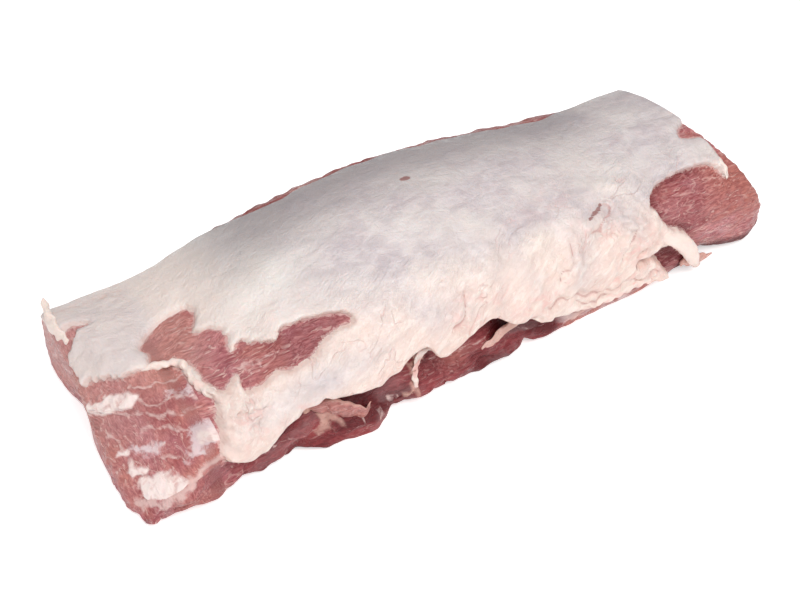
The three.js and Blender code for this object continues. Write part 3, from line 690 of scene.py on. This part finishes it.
# Rolled edges: each row is u, deg, lift, half width, half thickness.
edgeRolls = {
    "sides": 40, "perStep": 14,
    "rows": {
        "fold": [
            (128, 168, -1.4, 2.6, 1.8), (135, 170, 0.5, 4.4, 2.8), (143, 174, 1.5, 5.4, 3.3),
            (149, 178.5, 1.9, 5.6, 3.5), (155, 185, 1.8, 5.2, 3.4), (160, 191.5, 1.2, 4.3, 3),
            (163, 197, 0.3, 2.8, 2.2)],
        # lower lip of the front fat, folded under
        "lip": [
            (50, 187, -1.6, 1.4, 0.9), (66, 189.5, -0.4, 2.4, 1.5), (83, 191.5, 0, 3, 1.8),
            (98, 192.5, 0, 3.2, 1.9), (114, 192, 0, 3, 1.8), (128, 195, -0.3, 2.6, 1.6),
            (141, 198.5, -0.8, 1.8, 1.2)],
        # last point of fat over the bare eye
        "point": [
            (186.5, 137, -1.4, 2.4, 1.6), (187.6, 142, -0.8, 2.4, 1.8), (188, 146, -0.9, 2, 1.6),
            (188, 149.5, -1.2, 1.3, 1.1), (187.6, 152.5, -1.9, 0.6, 0.6)],
        # raised edge of fat between the slanting cut and the opening behind it
        "rim": [
            (-192, 115, -2.4, 1.1, 0.9), (-185, 114.5, -0.7, 1.7, 1.3), (-178, 117.2, -0.6, 1.9, 1.5),
            (-172, 119, -0.7, 2, 1.5), (-168, 122.5, -0.7, 2.1, 1.6), (-166.2, 129, -0.8, 2.2, 1.7),
            (-165.8, 137, -0.8, 2.3, 1.7), (-165.6, 144, -0.8, 2.6, 1.8), (-163.6, 149.5, -0.9, 2.8, 1.8),
            (-160, 153.5, -1.8, 2.4, 1.4)],
        # pointed corner of the sheet, rising: the last column is the rise in millimetres
        "horn": [
            (-203, 27, -3, 3.6, 1.8, -1.5), (-199, 23, -1.6, 4.8, 2.3, 0),
            (-195.5, 19, -0.4, 4.8, 2.4, 2), (-193.4, 16, 0.8, 2.8, 1.7, 6.5),
            (-192.2, 14, 1.6, 0.8, 0.6, 11)],
        "tendon": [
            (-29, 174, -0.8, 2.4, 1.1), (-36, 176, 0.6, 3.2, 1.3), (-43, 179, 0.8, 2.5, 1.1),
            (-47, 185, 0.4, 1.8, 0.8), (-49, 191, 0.1, 1.6, 0.7), (-49.5, 195, -0.6, 0.9, 0.5)],
        "tip": [
            (152, 194, -2.2, 3.4, 1.8), (160, 194.5, -0.8, 4.2, 2.2), (166, 194.5, 0, 4.2, 2.1),
            (171, 195.5, 0.2, 3.4, 1.6), (175, 195.5, 0.3, 1.9, 1), (178, 194.5, 0.6, 0.7, 0.6)],
        "flap": [
            (-117, 178, -2.4, 2.2, 1.2), (-108, 183.5, -0.9, 4.6, 2), (-99, 187.5, 0, 5.6, 2.2),
            (-90, 190.5, 0.4, 5.2, 2), (-84, 191.5, 0.9, 3.6, 1.4), (-79, 190, 1.4, 1, 0.7)],
        "web": [
            (-4, 190, -0.8, 1.6, 0.8), (4, 188.8, 0.2, 3.8, 1), (13, 187.4, 0.5, 4.8, 1.2),
            (22, 185.8, 0.5, 4, 1.1), (31, 183, 0.3, 1.8, 0.7)],
    },
    "leanOnes": ("tip", "flap", "web"),         # painted as lean, the others as fat
    "onLean": ("flap", "tendon", "web"),        # these lie on the meat, the others on the outline
    "roughness": {"fold": 0.35, "point": 0.6},
    "stain": {"lip": 0.55, "fold": 0.15, "rim": 0.3, "web": 0.9, "tendon": 0.8},
    # what the materials read on every roll
    "masks": {
        "rim": 6, "veil": 0, "bruise": 0, "warm": 0.9, "crease": -9, "shaggy": 0.7, "aroundDeg": 170,
        "alongU": 140, "bare": 9, "fatSpot": -9, "flap": 3, "smear": -9, "seam": -9, "deepAndShade": 0.1,
        "pale": 0.4, "film": 0.2, "backSide": 0, "nearCut": 0, "orange": 0.7, "red": 0, "rosy": 0},
    "webFilm": 0.8, "lowest": 1,
}


# A rounded strip: an ellipse carried along a line that lies on the skin, ends rounded off.
def makeRoll(key, paint):
    s = edgeRolls
    rows = np.array([(i,) + row for i, row in enumerate(s["rows"][key])], float)
    t = np.linspace(0, len(rows) - 1, (len(rows) - 1) * s["perStep"] + 1)
    u, deg, lift, wide, thick = (follow(rows, t, c) for c in range(1, 6))
    origin, way, reach = ray(u, deg)
    if key in s["onLean"]:
        lift = lift + leanHeight(u, deg, origin, way, reach)
    centre = onRay(origin, way, reach, lift, 2)
    if rows.shape[1] > 6:
        centre[..., 2] += follow(rows, t, 6)
    along = np.gradient(centre, axis=0)
    along /= np.linalg.norm(along, axis=1, keepdims=True)
    across = np.cross(way, along)
    across /= np.linalg.norm(across, axis=1, keepdims=True)
    up = np.cross(along, across)
    run = np.concatenate([[0], np.cumsum(np.linalg.norm(np.diff(centre, axis=0), axis=1))])
    near = np.minimum(run, run[-1] - run) / np.minimum(wide, thick * 1.5)
    taper = quarterRound(np.maximum(near, 0.02))[:, None]
    a = np.linspace(0, 2 * np.pi, s["sides"], endpoint=False)
    sideways, upwards = np.cos(a) * wide[:, None] * taper, np.sin(a) * thick[:, None] * taper
    ring = centre[:, None] + across[:, None] * sideways[..., None] + up[:, None] * upwards[..., None]
    rough = s["roughness"].get(key, 1.0) * taper
    ring = ring + up[:, None] * (0.35 * rough * ripple(ring, 7, 51))[..., None] \
        + across[:, None] * (0.3 * rough * ripple(ring, 5, 52))[..., None]
    ring[..., 2] = np.maximum(ring[..., 2], s["lowest"])
    points = np.concatenate([ring.reshape(-1, 3), [ring[0].mean(0), ring[-1].mean(0)]])
    masks = s["masks"] | {"stain": s["stain"].get(key, 0.0)}
    if key == "web":
        masks["film"] = s["webFilm"]
    masks = {name: np.full(len(points), float(value)) for name, value in masks.items()}
    if key == "flap":       # red in the middle, with pale edges and a pale end
        pale = np.maximum(smooth(0.7, 1, np.abs(np.cos(a))), smooth(0.78, 1, t[:, None] / t[-1]))
        masks["flap"] = 5 * np.append(pale.ravel(), [1, 1]) - 3
    layMesh("edgeRoll." + key, points, ringFaces(*ring.shape[:2]), masks, paint)


# Colour as the eye reads it (0 to 255) to the linear one that a shader takes.
def paintOf(r, g, b):
    v = np.array([r, g, b]) / 255.0
    v = np.where(v <= 0.04045, v / 12.92, ((v + 0.055) / 1.055) ** 2.4)
    return (float(v[0]), float(v[1]), float(v[2]), 1.0)


# Adds nodes to one tree; values are numbers or sockets to link.
class NodeBench:
    def __init__(self, tree):
        self.tree = tree

    def add(self, kind, values=None, **settings):
        made = self.tree.nodes.new(kind)
        for key, v in settings.items():
            setattr(made, key, v)
        for key, v in (values or {}).items():
            if isinstance(v, bpy.types.NodeSocket):
                self.tree.links.new(v, made.inputs[key])
            else:
                made.inputs[key].default_value = v
        return made

    def maths(self, operation, *values, clamp=False):
        values = dict(enumerate(values))
        return self.add("ShaderNodeMath", values, operation=operation, use_clamp=clamp).outputs[0]

    def times(self, first, *others):
        for other in others:
            first = self.maths("MULTIPLY", first, other)
        return first

    def timesPlus(self, a, b, c):
        return self.maths("MULTIPLY_ADD", a, b, c)

    def minus(self, a, b, clamp=False):
        return self.maths("SUBTRACT", a, b, clamp=clamp)

    # smooth step of a value between low and high, from outLow to outHigh
    def ramp(self, v, low, high, outLow=0.0, outHigh=1.0):
        values = {"Value": v, "From Min": low, "From Max": high, "To Min": outLow, "To Max": outHigh}
        return self.add("ShaderNodeMapRange", values, interpolation_type="SMOOTHSTEP").outputs["Result"]

    def blend(self, amount, a, b):
        return self.add("ShaderNodeMix", {0: amount, 6: a, 7: b}, data_type="RGBA").outputs[2]

    def stretch(self, place, scale, turn=(0, 0, 0)):
        values = {"Vector": place, "Scale": scale, "Rotation": turn}
        return self.add("ShaderNodeMapping", values).outputs["Vector"]

    def noise(self, place, scale, detail=3.0, roughness=0.55, distortion=0.0):
        values = {"Vector": place, "Scale": scale, "Detail": detail, "Roughness": roughness,
                  "Distortion": distortion}
        return self.add("ShaderNodeTexNoise", values, noise_dimensions="3D").outputs["Fac"]

    # thin lines where a noise passes through its middle value
    def thinLines(self, noise, width):
        return self.ramp(self.maths("ABSOLUTE", self.minus(noise, 0.5)), width, 0.0)

    def group(self, tree, values):
        return self.add("ShaderNodeGroup", values, node_tree=tree).outputs

    def mask(self, name):
        made = self.add("ShaderNodeAttribute", attribute_name=name, attribute_type="GEOMETRY")
        return made.outputs["Fac"]


# Inputs are names with a first value, or None for a place; outputs are all single values.
def startGroup(name, inputs, outputs):
    tree = bpy.data.node_groups.new(name, "ShaderNodeTree")
    for label, value in inputs.items():
        kind = "NodeSocketVector" if value is None else "NodeSocketFloat"
        socket = tree.interface.new_socket(name=label, in_out="INPUT", socket_type=kind)
        if value is not None:
            socket.default_value = value
    for label in outputs:
        tree.interface.new_socket(name=label, in_out="OUTPUT", socket_type="NodeSocketFloat")
    bench = NodeBench(tree)
    return bench, bench.add("NodeGroupInput").outputs


def endGroup(bench, **results):
    bench.add("NodeGroupOutput", results)
    return bench.tree


# A clean measured edge turned into a torn one: noise moves the edge in and out.
def raggedEdgeGroup():
    inputs = {"Place": None, "Depth": 0.0, "Jag": 1.5, "Grain": 0.35, "Softness": 0.4}
    b, given = startGroup("raggedEdge", inputs, ["Mask"])
    noise = b.minus(b.noise(given["Place"], given["Grain"], 4.0, 0.62, 0.4), 0.5)
    moved = b.timesPlus(noise, b.times(given["Jag"], 4.0), given["Depth"])
    return endGroup(b, Mask=b.ramp(moved, b.times(given["Softness"], -1.0), given["Softness"]))


# Grain of cut meat: fibres along the loin, thin pale threads of marbling, blotches.
def meatGrainGroup():
    b, given = startGroup("meatGrain", {"Place": None, "CutAcross": 0.0, "Threads": 0.5},
                          ["Fibre", "Fleck", "Thread", "Blotch", "Height"])
    place = given["Place"]
    bend = b.noise(place, 0.05, 2.0)
    shift = b.add("ShaderNodeCombineXYZ", {"Y": b.times(bend, 16.0), "Z": b.times(bend, -12.0)})
    bent = b.add("ShaderNodeVectorMath", {0: place, 1: shift.outputs[0]}, operation="ADD").outputs[0]
    lays = {0: given["CutAcross"], 4: b.stretch(bent, (0.14, 1, 1), (0, 0, 0.12)),
            5: b.stretch(bent, (1, 0.3, 1), (0.15, 0, 0))}
    lay = b.add("ShaderNodeMix", lays, data_type="VECTOR").outputs[1]
    fibre = b.noise(lay, 0.8, 5.0, 0.66, 0.5)
    gather = b.ramp(b.noise(place, 0.1, 2.0), 0.4, 0.6, 0.3, 1.0)
    fleck = b.times(b.ramp(b.noise(lay, 0.62, 2.0, 0.55, 0.35), 0.57, 0.68), gather)
    threadNoise = b.noise(b.stretch(lay, (0.8, 0.7, 1)), 0.12, 2.0, 0.4, 0.12)
    where = b.ramp(b.noise(place, 0.08, 2.0), 0.44, 0.6)
    thread = b.times(b.thinLines(threadNoise, 0.016), where, given["Threads"])
    blotch = b.ramp(b.noise(place, 0.06, 3.0, 0.55, 0.5), 0.36, 0.66)
    height = b.timesPlus(thread, 0.4, b.timesPlus(fleck, 0.35, fibre))
    fibre = b.ramp(fibre, 0.34, 0.66)
    return endGroup(b, Fibre=fibre, Fleck=fleck, Thread=thread, Blotch=blotch, Height=height)


# Fat and membrane: soft clouds, fine mottling and whitish veins.
def fatCloudGroup():
    b, given = startGroup("fatCloud", {"Place": None}, ["Cloud", "Mottle", "Vein", "Height"])
    place = given["Place"]
    cloud = b.ramp(b.noise(place, 0.032, 3.0, 0.5, 0.3), 0.36, 0.64)
    mottle = b.noise(b.stretch(place, (0.6, 1, 1)), 0.16, 4.0, 0.6, 0.6)
    veinNoise = b.noise(b.stretch(place, (0.8, 0.4, 1), (0, 0, 0.5)), 0.06, 2.0, 0.4, 0.5)
    height = b.timesPlus(b.noise(place, 0.55, 4.0, 0.6), 0.45, mottle)
    return endGroup(b, Cloud=cloud, Mottle=b.ramp(mottle, 0.34, 0.66), Vein=b.thinLines(veinNoise, 0.03),
                    Height=height)


# Feathered fat: short pale tufts and thin pink lines that run up the side of the loin.
def fatFeatherGroup():
    b, given = startGroup("fatFeather", {"Along": 0.0, "Around": 0.0}, ["Tuft", "Line", "Speck", "Height"])
    around = b.times(given["Around"], degToMm)
    lay = b.add("ShaderNodeCombineXYZ", {"X": given["Along"], "Y": around}).outputs[0]
    # turned first, then stretched, so that the tufts lean towards the far end as they rise
    turned = b.stretch(lay, (1, 1, 1), (0, 0, 0.55))
    tuftNoise = b.noise(b.stretch(turned, (0.3, 1, 1)), 0.26, 4.0, 0.6, 0.5)
    lineNoise = b.noise(b.stretch(turned, (0.45, 1, 1)), 0.06, 3.0, 0.55, 0.7)
    line = b.times(b.thinLines(lineNoise, 0.014), b.ramp(b.noise(lay, 0.035, 1.0), 0.5, 0.62))
    fine = b.noise(b.stretch(turned, (0.4, 1, 1)), 0.85, 3.0, 0.6, 0.4)
    height = b.timesPlus(fine, 0.45, b.timesPlus(line, -0.3, tuftNoise))
    return endGroup(b, Tuft=b.ramp(tuftNoise, 0.45, 0.66), Line=line, Speck=b.ramp(fine, 0.56, 0.7),
                    Height=height)


# Wet sheen in patches: smooth where moist, duller where dry.
def wetSkinGroup():
    b, given = startGroup("wetSkin", {"Place": None, "Dry": 0.55, "Wet": 0.3}, ["Roughness", "Coat"])
    patch = b.ramp(b.noise(given["Place"], 0.22, 4.0, 0.65), 0.4, 0.62)
    gloss = b.add("ShaderNodeMix", {0: patch, 2: given["Dry"], 3: given["Wet"]}, data_type="FLOAT")
    return endGroup(b, Roughness=gloss.outputs[0], Coat=b.times(patch, 0.35))


# An empty material and its shader, with the shader's own settings.
def startMaterial(name, settings):
    material = bpy.data.materials.new(name)
    material.use_nodes = True
    material.node_tree.nodes.clear()
    bench = NodeBench(material.node_tree)
    surface = bench.add("ShaderNodeBsdfPrincipled", settings)
    bench.add("ShaderNodeOutputMaterial", {"Surface": surface.outputs["BSDF"]})
    return material, bench, surface


# What both paints begin with: place on the object in millimetres, colours, masks and wet sheen.
def startPaint(name, paint, groups):
    material, bench, surface = startMaterial(name, paint["surface"])
    place = bench.stretch(bench.add("ShaderNodeTexCoord").outputs["Object"], (1000, 1000, 1000))
    colours = {key: paintOf(*rgb) for key, rgb in paint["colours"].items()}
    masks = {key: bench.mask(key) for key in paint["masks"]}
    wet = bench.group(groups["wetSkin"], {"Place": place, "Dry": paint["dry"], "Wet": paint["wet"]})
    return material, bench, surface, place, colours, masks, wet


# Lays colours over the first tone, in the order of the paint's layers, then wires up the shader.
def finishPaint(bench, surface, paint, tone, amounts, colours, roughness, coatWeight, height):
    for key, strength, colour in paint["layers"]:
        tone = bench.blend(bench.times(amounts[key], strength), tone, colours[colour])
    bump = bench.add("ShaderNodeBump", {"Height": height, **paint["bump"]}).outputs["Normal"]
    links = {"Base Color": tone, "Roughness": roughness, "Coat Weight": coatWeight, "Normal": bump}
    for key, socket in links.items():
        bench.tree.links.new(socket, surface.inputs[key])


leanPaint = {
    # the dark meat colour also lays painted shade, and the darkest colour a painted shadow, under the front
    # edge of the fat
    "colours": {
        "light": (208, 142, 142), "mid": (164, 80, 86), "deepAndShade": (100, 18, 26), "pale": (214, 162, 152),
        "orange": (208, 132, 114), "red": (160, 54, 60), "milky": (238, 222, 224),
        "fatShade": (226, 190, 184), "rosy": (186, 116, 126), "thread": (226, 186, 178),
        "film": (214, 192, 192), "seam": (234, 204, 198), "fat": (250, 231, 226), "lace": (232, 204, 197),
        "flap": (222, 178, 164), "back": (144, 76, 68), "recess": (74, 6, 12)},
    "masks": ["bare", "fatSpot", "flap", "smear", "seam", "deepAndShade", "pale", "film", "backSide", "nearCut",
              "orange", "red", "rosy"],
    # what is laid over the first tone: amount, strength, colour
    "layers": [
        ("warmPatch", 0.4, "orange"), ("coolPatch", 0.5, "rosy"), ("orange", 0.7, "orange"),
        ("rosy", 0.85, "rosy"), ("red", 0.85, "red"), ("pale", 0.55, "pale"), ("darkFibre", 1.0, "deepAndShade"),
        ("deepMeat", 1.0, "deepAndShade"), ("recess", 0.5, "recess"), ("backSide", 0.5, "back"),
        ("fleck", 0.8, "thread"), ("thread", 0.7, "thread"), ("filmy", 0.75, "film"),
        ("smear", 0.75, "milky"), ("seam", 0.7, "seam"), ("flap", 1.0, "flap"),
        ("fatSpot", 1.0, "fatTone"), ("lace", 0.45, "lace")],
    # torn edges of the marks: jag, grain, softness
    "torn": {"smear": (2.4, 0.3, 1.8), "seam": (0.7, 0.3, 0.8), "flap": (1.6, 0.22, 2.2),
             "fatSpot": (0.8, 0.26, 1.1), "bare": (1.5, 0.5, 0.5)},
    "laceWidth": 1.0, "threads": 0.7, "dry": 0.5, "wet": 0.27,
    "bump": {"Strength": 0.6, "Distance": 0.0011},
    "surface": {"Coat Roughness": 0.25, "Specular IOR Level": 0.34, "Subsurface Weight": 0.12,
                "Subsurface Radius": (1.0, 0.35, 0.25), "Subsurface Scale": 0.0025},
}


def makeLeanPaint(groups):
    p = leanPaint
    material, b, surface, place, colours, mask, wet = startPaint("rawLean", p, groups)
    inputs = {"Place": place, "CutAcross": mask["nearCut"], "Threads": p["threads"]}
    grain = b.group(groups["meatGrain"], inputs)
    fibre, blotch, deepAndShade = grain["Fibre"], grain["Blotch"], mask["deepAndShade"]
    torn = {}
    for key, (jag, size, soft) in p["torn"].items():
        depth = b.minus(mask[key], p["laceWidth"]) if key == "bare" else mask[key]
        values = {"Place": place, "Depth": depth, "Jag": jag, "Grain": size, "Softness": soft}
        torn[key] = b.group(groups["raggedEdge"], values)["Mask"]

    # fewer pale flecks, and less gloss, where the meat is dark or painted shade lies
    clear = b.minus(1.0, b.timesPlus(mask["red"], 0.35, b.times(deepAndShade, 0.7)), clamp=True)
    # cut across the grain the fibres show less
    fibreShare = b.timesPlus(mask["nearCut"], -0.09, 0.42)
    filmNoise = b.noise(b.stretch(place, (0.4, 1, 1)), 0.12, 4.0, 0.6, 0.8)
    coolNoise = b.noise(b.stretch(place, (1, 1, 1.4)), 0.045, 3.0, 0.55, 0.8)
    amounts = {
        **mask, **torn,
        "warmPatch": b.ramp(b.noise(place, 0.035, 3.0, 0.55, 0.4), 0.46, 0.66),
        "coolPatch": b.ramp(coolNoise, 0.5, 0.68),
        "darkFibre": b.times(b.minus(1.0, fibre), fibreShare),
        # dark meat, and with it the painted shade under the fat's front edge and in the hollow
        "deepMeat": b.times(deepAndShade, b.timesPlus(fibre, -0.45, 1.1)),
        # the darkest painted shadow, mostly in the band under the front edge of the fat
        "recess": b.ramp(deepAndShade, 0.8, 1.0),
        "fleck": b.times(grain["Fleck"], clear), "thread": b.times(grain["Thread"], clear),
        "filmy": b.times(mask["film"], b.ramp(filmNoise, 0.4, 0.6)),
        "flap": b.times(torn["flap"], b.timesPlus(blotch, 0.3, 0.55)),
        "lace": b.minus(1.0, torn["bare"])}
    fatNoise = b.ramp(b.noise(place, 0.2, 3.0, 0.6, 0.6), 0.28, 0.52)
    colours["fatTone"] = b.blend(fatNoise, colours["fatShade"], colours["fat"])
    tone = b.blend(b.timesPlus(blotch, 0.5, b.times(fibre, 0.5)), colours["mid"], colours["light"])
    finishPaint(b, surface, p, tone, amounts, colours, wet["Roughness"], b.times(wet["Coat"], clear),
                grain["Height"])
    return material


fatPaint = {
    "colours": {
        "cream": (226, 217, 211), "white": (238, 230, 225), "warm": (236, 207, 196),
        "veil": (216, 205, 206), "veilDark": (196, 184, 187), "vein": (222, 212, 214),
        "shade": (150, 141, 143), "speck": (255, 247, 240), "pink": (232, 172, 166),
        "bruise": (138, 78, 72), "rim": (222, 174, 160), "tuft": (250, 236, 227), "crease": (188, 128, 122)},
    "masks": ["rim", "veil", "stain", "crease", "shaggy", "bruise", "warm", "aroundDeg", "alongU"],
    "layers": [
        ("warm", 0.75, "warm"), ("tuft", 0.75, "tuft"), ("speck", 0.55, "speck"),
        ("veil", 1.0, "veilTone"), ("backShade", 0.78, "shade"), ("stain", 1.0, "pink"),
        ("line", 0.3, "pink"), ("crease", 0.75, "crease"), ("bruise", 0.8, "bruise"), ("thin", 0.3, "rim")],
    "thinEdge": {"Jag": 1.0, "Grain": 0.4, "Softness": 0.8}, "thinWidth": 1.3,
    "veins": 0.3, "dry": 0.55, "wet": 0.3, "bump": {"Strength": 0.7, "Distance": 0.0016},
    "surface": {"Coat Roughness": 0.2, "Subsurface Weight": 0.2, "Subsurface Radius": (1.0, 0.6, 0.45),
                "Subsurface Scale": 0.003},
}


def makeFatPaint(groups):
    p = fatPaint
    material, b, surface, place, colours, mask, wet = startPaint("rawFat", p, groups)
    along, around, shaggy = mask["alongU"], mask["aroundDeg"], mask["shaggy"]
    cloud = b.group(groups["fatCloud"], {"Place": place})
    feather = b.group(groups["fatFeather"], {"Along": along, "Around": around})
    veilTone = b.blend(cloud["Mottle"], colours["veil"], colours["veilDark"])
    colours["veilTone"] = b.blend(b.times(cloud["Vein"], p["veins"]), veilTone, colours["vein"])
    patchy = b.ramp(b.noise(place, 0.03, 4.0, 0.6, 0.6), 0.25, 0.6, 0.45, 1.0)
    blush = b.noise(b.stretch(place, (0.7, 1, 1), (0, 0, -0.6)), 0.13, 4.0, 0.62, 1.0)
    bruise = b.timesPlus(b.noise(place, 0.6, 3.0), 0.5, mask["bruise"])
    inRim = b.minus(mask["rim"], p["thinWidth"])
    thick = b.group(groups["raggedEdge"], {"Place": place, "Depth": inRim, **p["thinEdge"]})["Mask"]
    amounts = {
        "warm": mask["warm"], "veil": b.times(mask["veil"], patchy),
        **{key.lower(): b.times(feather[key], shaggy) for key in ("Tuft", "Speck", "Line")},
        # the side turned away from the light is greyer
        "backShade": b.times(b.ramp(around, 108.0, 50.0), b.ramp(along, -150.0, -90.0),
                             b.ramp(along, 160.0, 110.0, 0.35, 1.0)),
        "stain": b.times(mask["stain"], b.ramp(blush, 0.42, 0.66)),
        # pink in the pressed folds, darkened further as painted shade
        "crease": b.ramp(mask["crease"], -0.6, 0.6), "bruise": b.ramp(bruise, 0.6, 0.95),
        "thin": b.minus(1.0, thick)}
    tone = b.blend(cloud["Cloud"], colours["cream"], colours["white"])
    height = b.timesPlus(b.times(feather["Height"], shaggy), 1.5, cloud["Height"])
    finishPaint(b, surface, p, tone, amounts, colours, wet["Roughness"], wet["Coat"], height)
    return material


madeGroups = (raggedEdgeGroup(), meatGrainGroup(), fatCloudGroup(), fatFeatherGroup(), wetSkinGroup())
groups = {tree.name: tree for tree in madeGroups}
paints = {"lean": makeLeanPaint(groups), "fat": makeFatPaint(groups)}
print("materials made")
makeLean(paints["lean"])
makeFat(paints["fat"])
for key in edgeRolls["rows"]:
    slotName = "lean" if key in edgeRolls["leanOnes"] else "fat"
    makeRoll(key, paints[slotName])
print("meat made")

# Floor, lamps, sky and camera; the camera's target and distance are in plan millimetres.
studio = {
    "target": (-28, -15, 30), "distance": 723, "azimuth": -32, "elevation": 42,
    "lens": 55, "sensor": 36, "clipStart": 0.02,
    # name, place in metres, size, watts, colour
    "lamps": [("frontLight", (0.15, -0.8, 1.0), 0.8, 9, (1.0, 0.985, 0.97)),
              ("topLight", (-0.3, 0.05, 1.2), 1.2, 4, (0.98, 0.985, 1.0)),
              ("leftFill", (-1.1, -0.4, 0.6), 0.8, 2.2, (1.0, 1.0, 1.0))],
    "lampTarget": (0, 0, 0.04), "sky": 0.38, "skySeen": 0.52,
    "floorHalf": 6, "floorLevel": -0.0004, "floorGlow": 0.25, "floorGlowSeen": 0.25,
    "floorPaint": {"Base Color": paintOf(250, 250, 250), "Roughness": 0.85,
                   "Emission Color": (1, 1, 1, 1)},
}


def putInScene(name, data):
    made = bpy.data.objects.new(name, data)
    bpy.context.scene.collection.objects.link(made)
    return made


# The camera stands off the target by its distance, turned by azimuth and elevation.
def makeCamera():
    s = studio
    a, e = np.radians(s["azimuth"]), np.radians(s["elevation"])
    back = np.array([np.sin(a) * np.cos(e), -np.cos(a) * np.cos(e), np.sin(e)])
    data = bpy.data.cameras.new("photoCamera")
    data.lens, data.sensor_width, data.clip_start = s["lens"], s["sensor"], s["clipStart"]
    camera = putInScene("photoCamera", data)
    camera.location = toScene(np.array(s["target"])) + back * s["distance"] * plan["trueSize"] / 1000
    camera.rotation_euler = (np.pi / 2 - e, 0, a)
    bpy.context.scene.camera = camera


def makeLamps():
    for name, where, size, watts, colour in studio["lamps"]:
        data = bpy.data.lights.new(name, "AREA")
        data.shape, data.size, data.energy, data.color = "DISK", size, watts, colour
        lamp = putInScene(name, data)
        lamp.location = where
        aim = Vector(studio["lampTarget"]) - Vector(where)
        lamp.rotation_euler = aim.to_track_quat("-Z", "Y").to_euler()


# A glowing pale floor just under the meat, clear when seen from below.
def makeFloor():
    s = studio
    r, z = s["floorHalf"], s["floorLevel"]
    mesh = bpy.data.meshes.new("floor")
    mesh.from_pydata([(-r, -r, z), (r, -r, z), (r, r, z), (-r, r, z)], [], [(0, 1, 2, 3)])
    floor = putInScene("floor", mesh)
    material, b, surface = startMaterial("paleFloor", s["floorPaint"])
    seen = b.add("ShaderNodeLightPath").outputs["Is Camera Ray"]
    fromBelow = b.add("ShaderNodeNewGeometry").outputs["Backfacing"]
    glow = b.timesPlus(seen, s["floorGlowSeen"], s["floorGlow"])
    b.tree.links.new(glow, surface.inputs["Emission Strength"])
    b.tree.links.new(b.minus(1.0, fromBelow), surface.inputs["Alpha"])
    mesh.materials.append(material)


# A white sky, brighter where the camera looks straight at it.
def makeSky():
    s, scene = studio, bpy.context.scene
    world = bpy.data.worlds.new("paleRoom")
    world.use_nodes = True
    b = NodeBench(world.node_tree)
    sky = b.tree.nodes["Background"].inputs
    sky["Color"].default_value = (1, 1, 1, 1)
    seen = b.add("ShaderNodeLightPath").outputs["Is Camera Ray"]
    b.tree.links.new(b.timesPlus(seen, s["skySeen"], s["sky"]), sky["Strength"])
    scene.world = world
    scene.view_settings.view_transform = "Standard"
    scene.view_settings.look = "None"


makeCamera()
makeLamps()
makeFloor()
makeSky()
print("studio made")
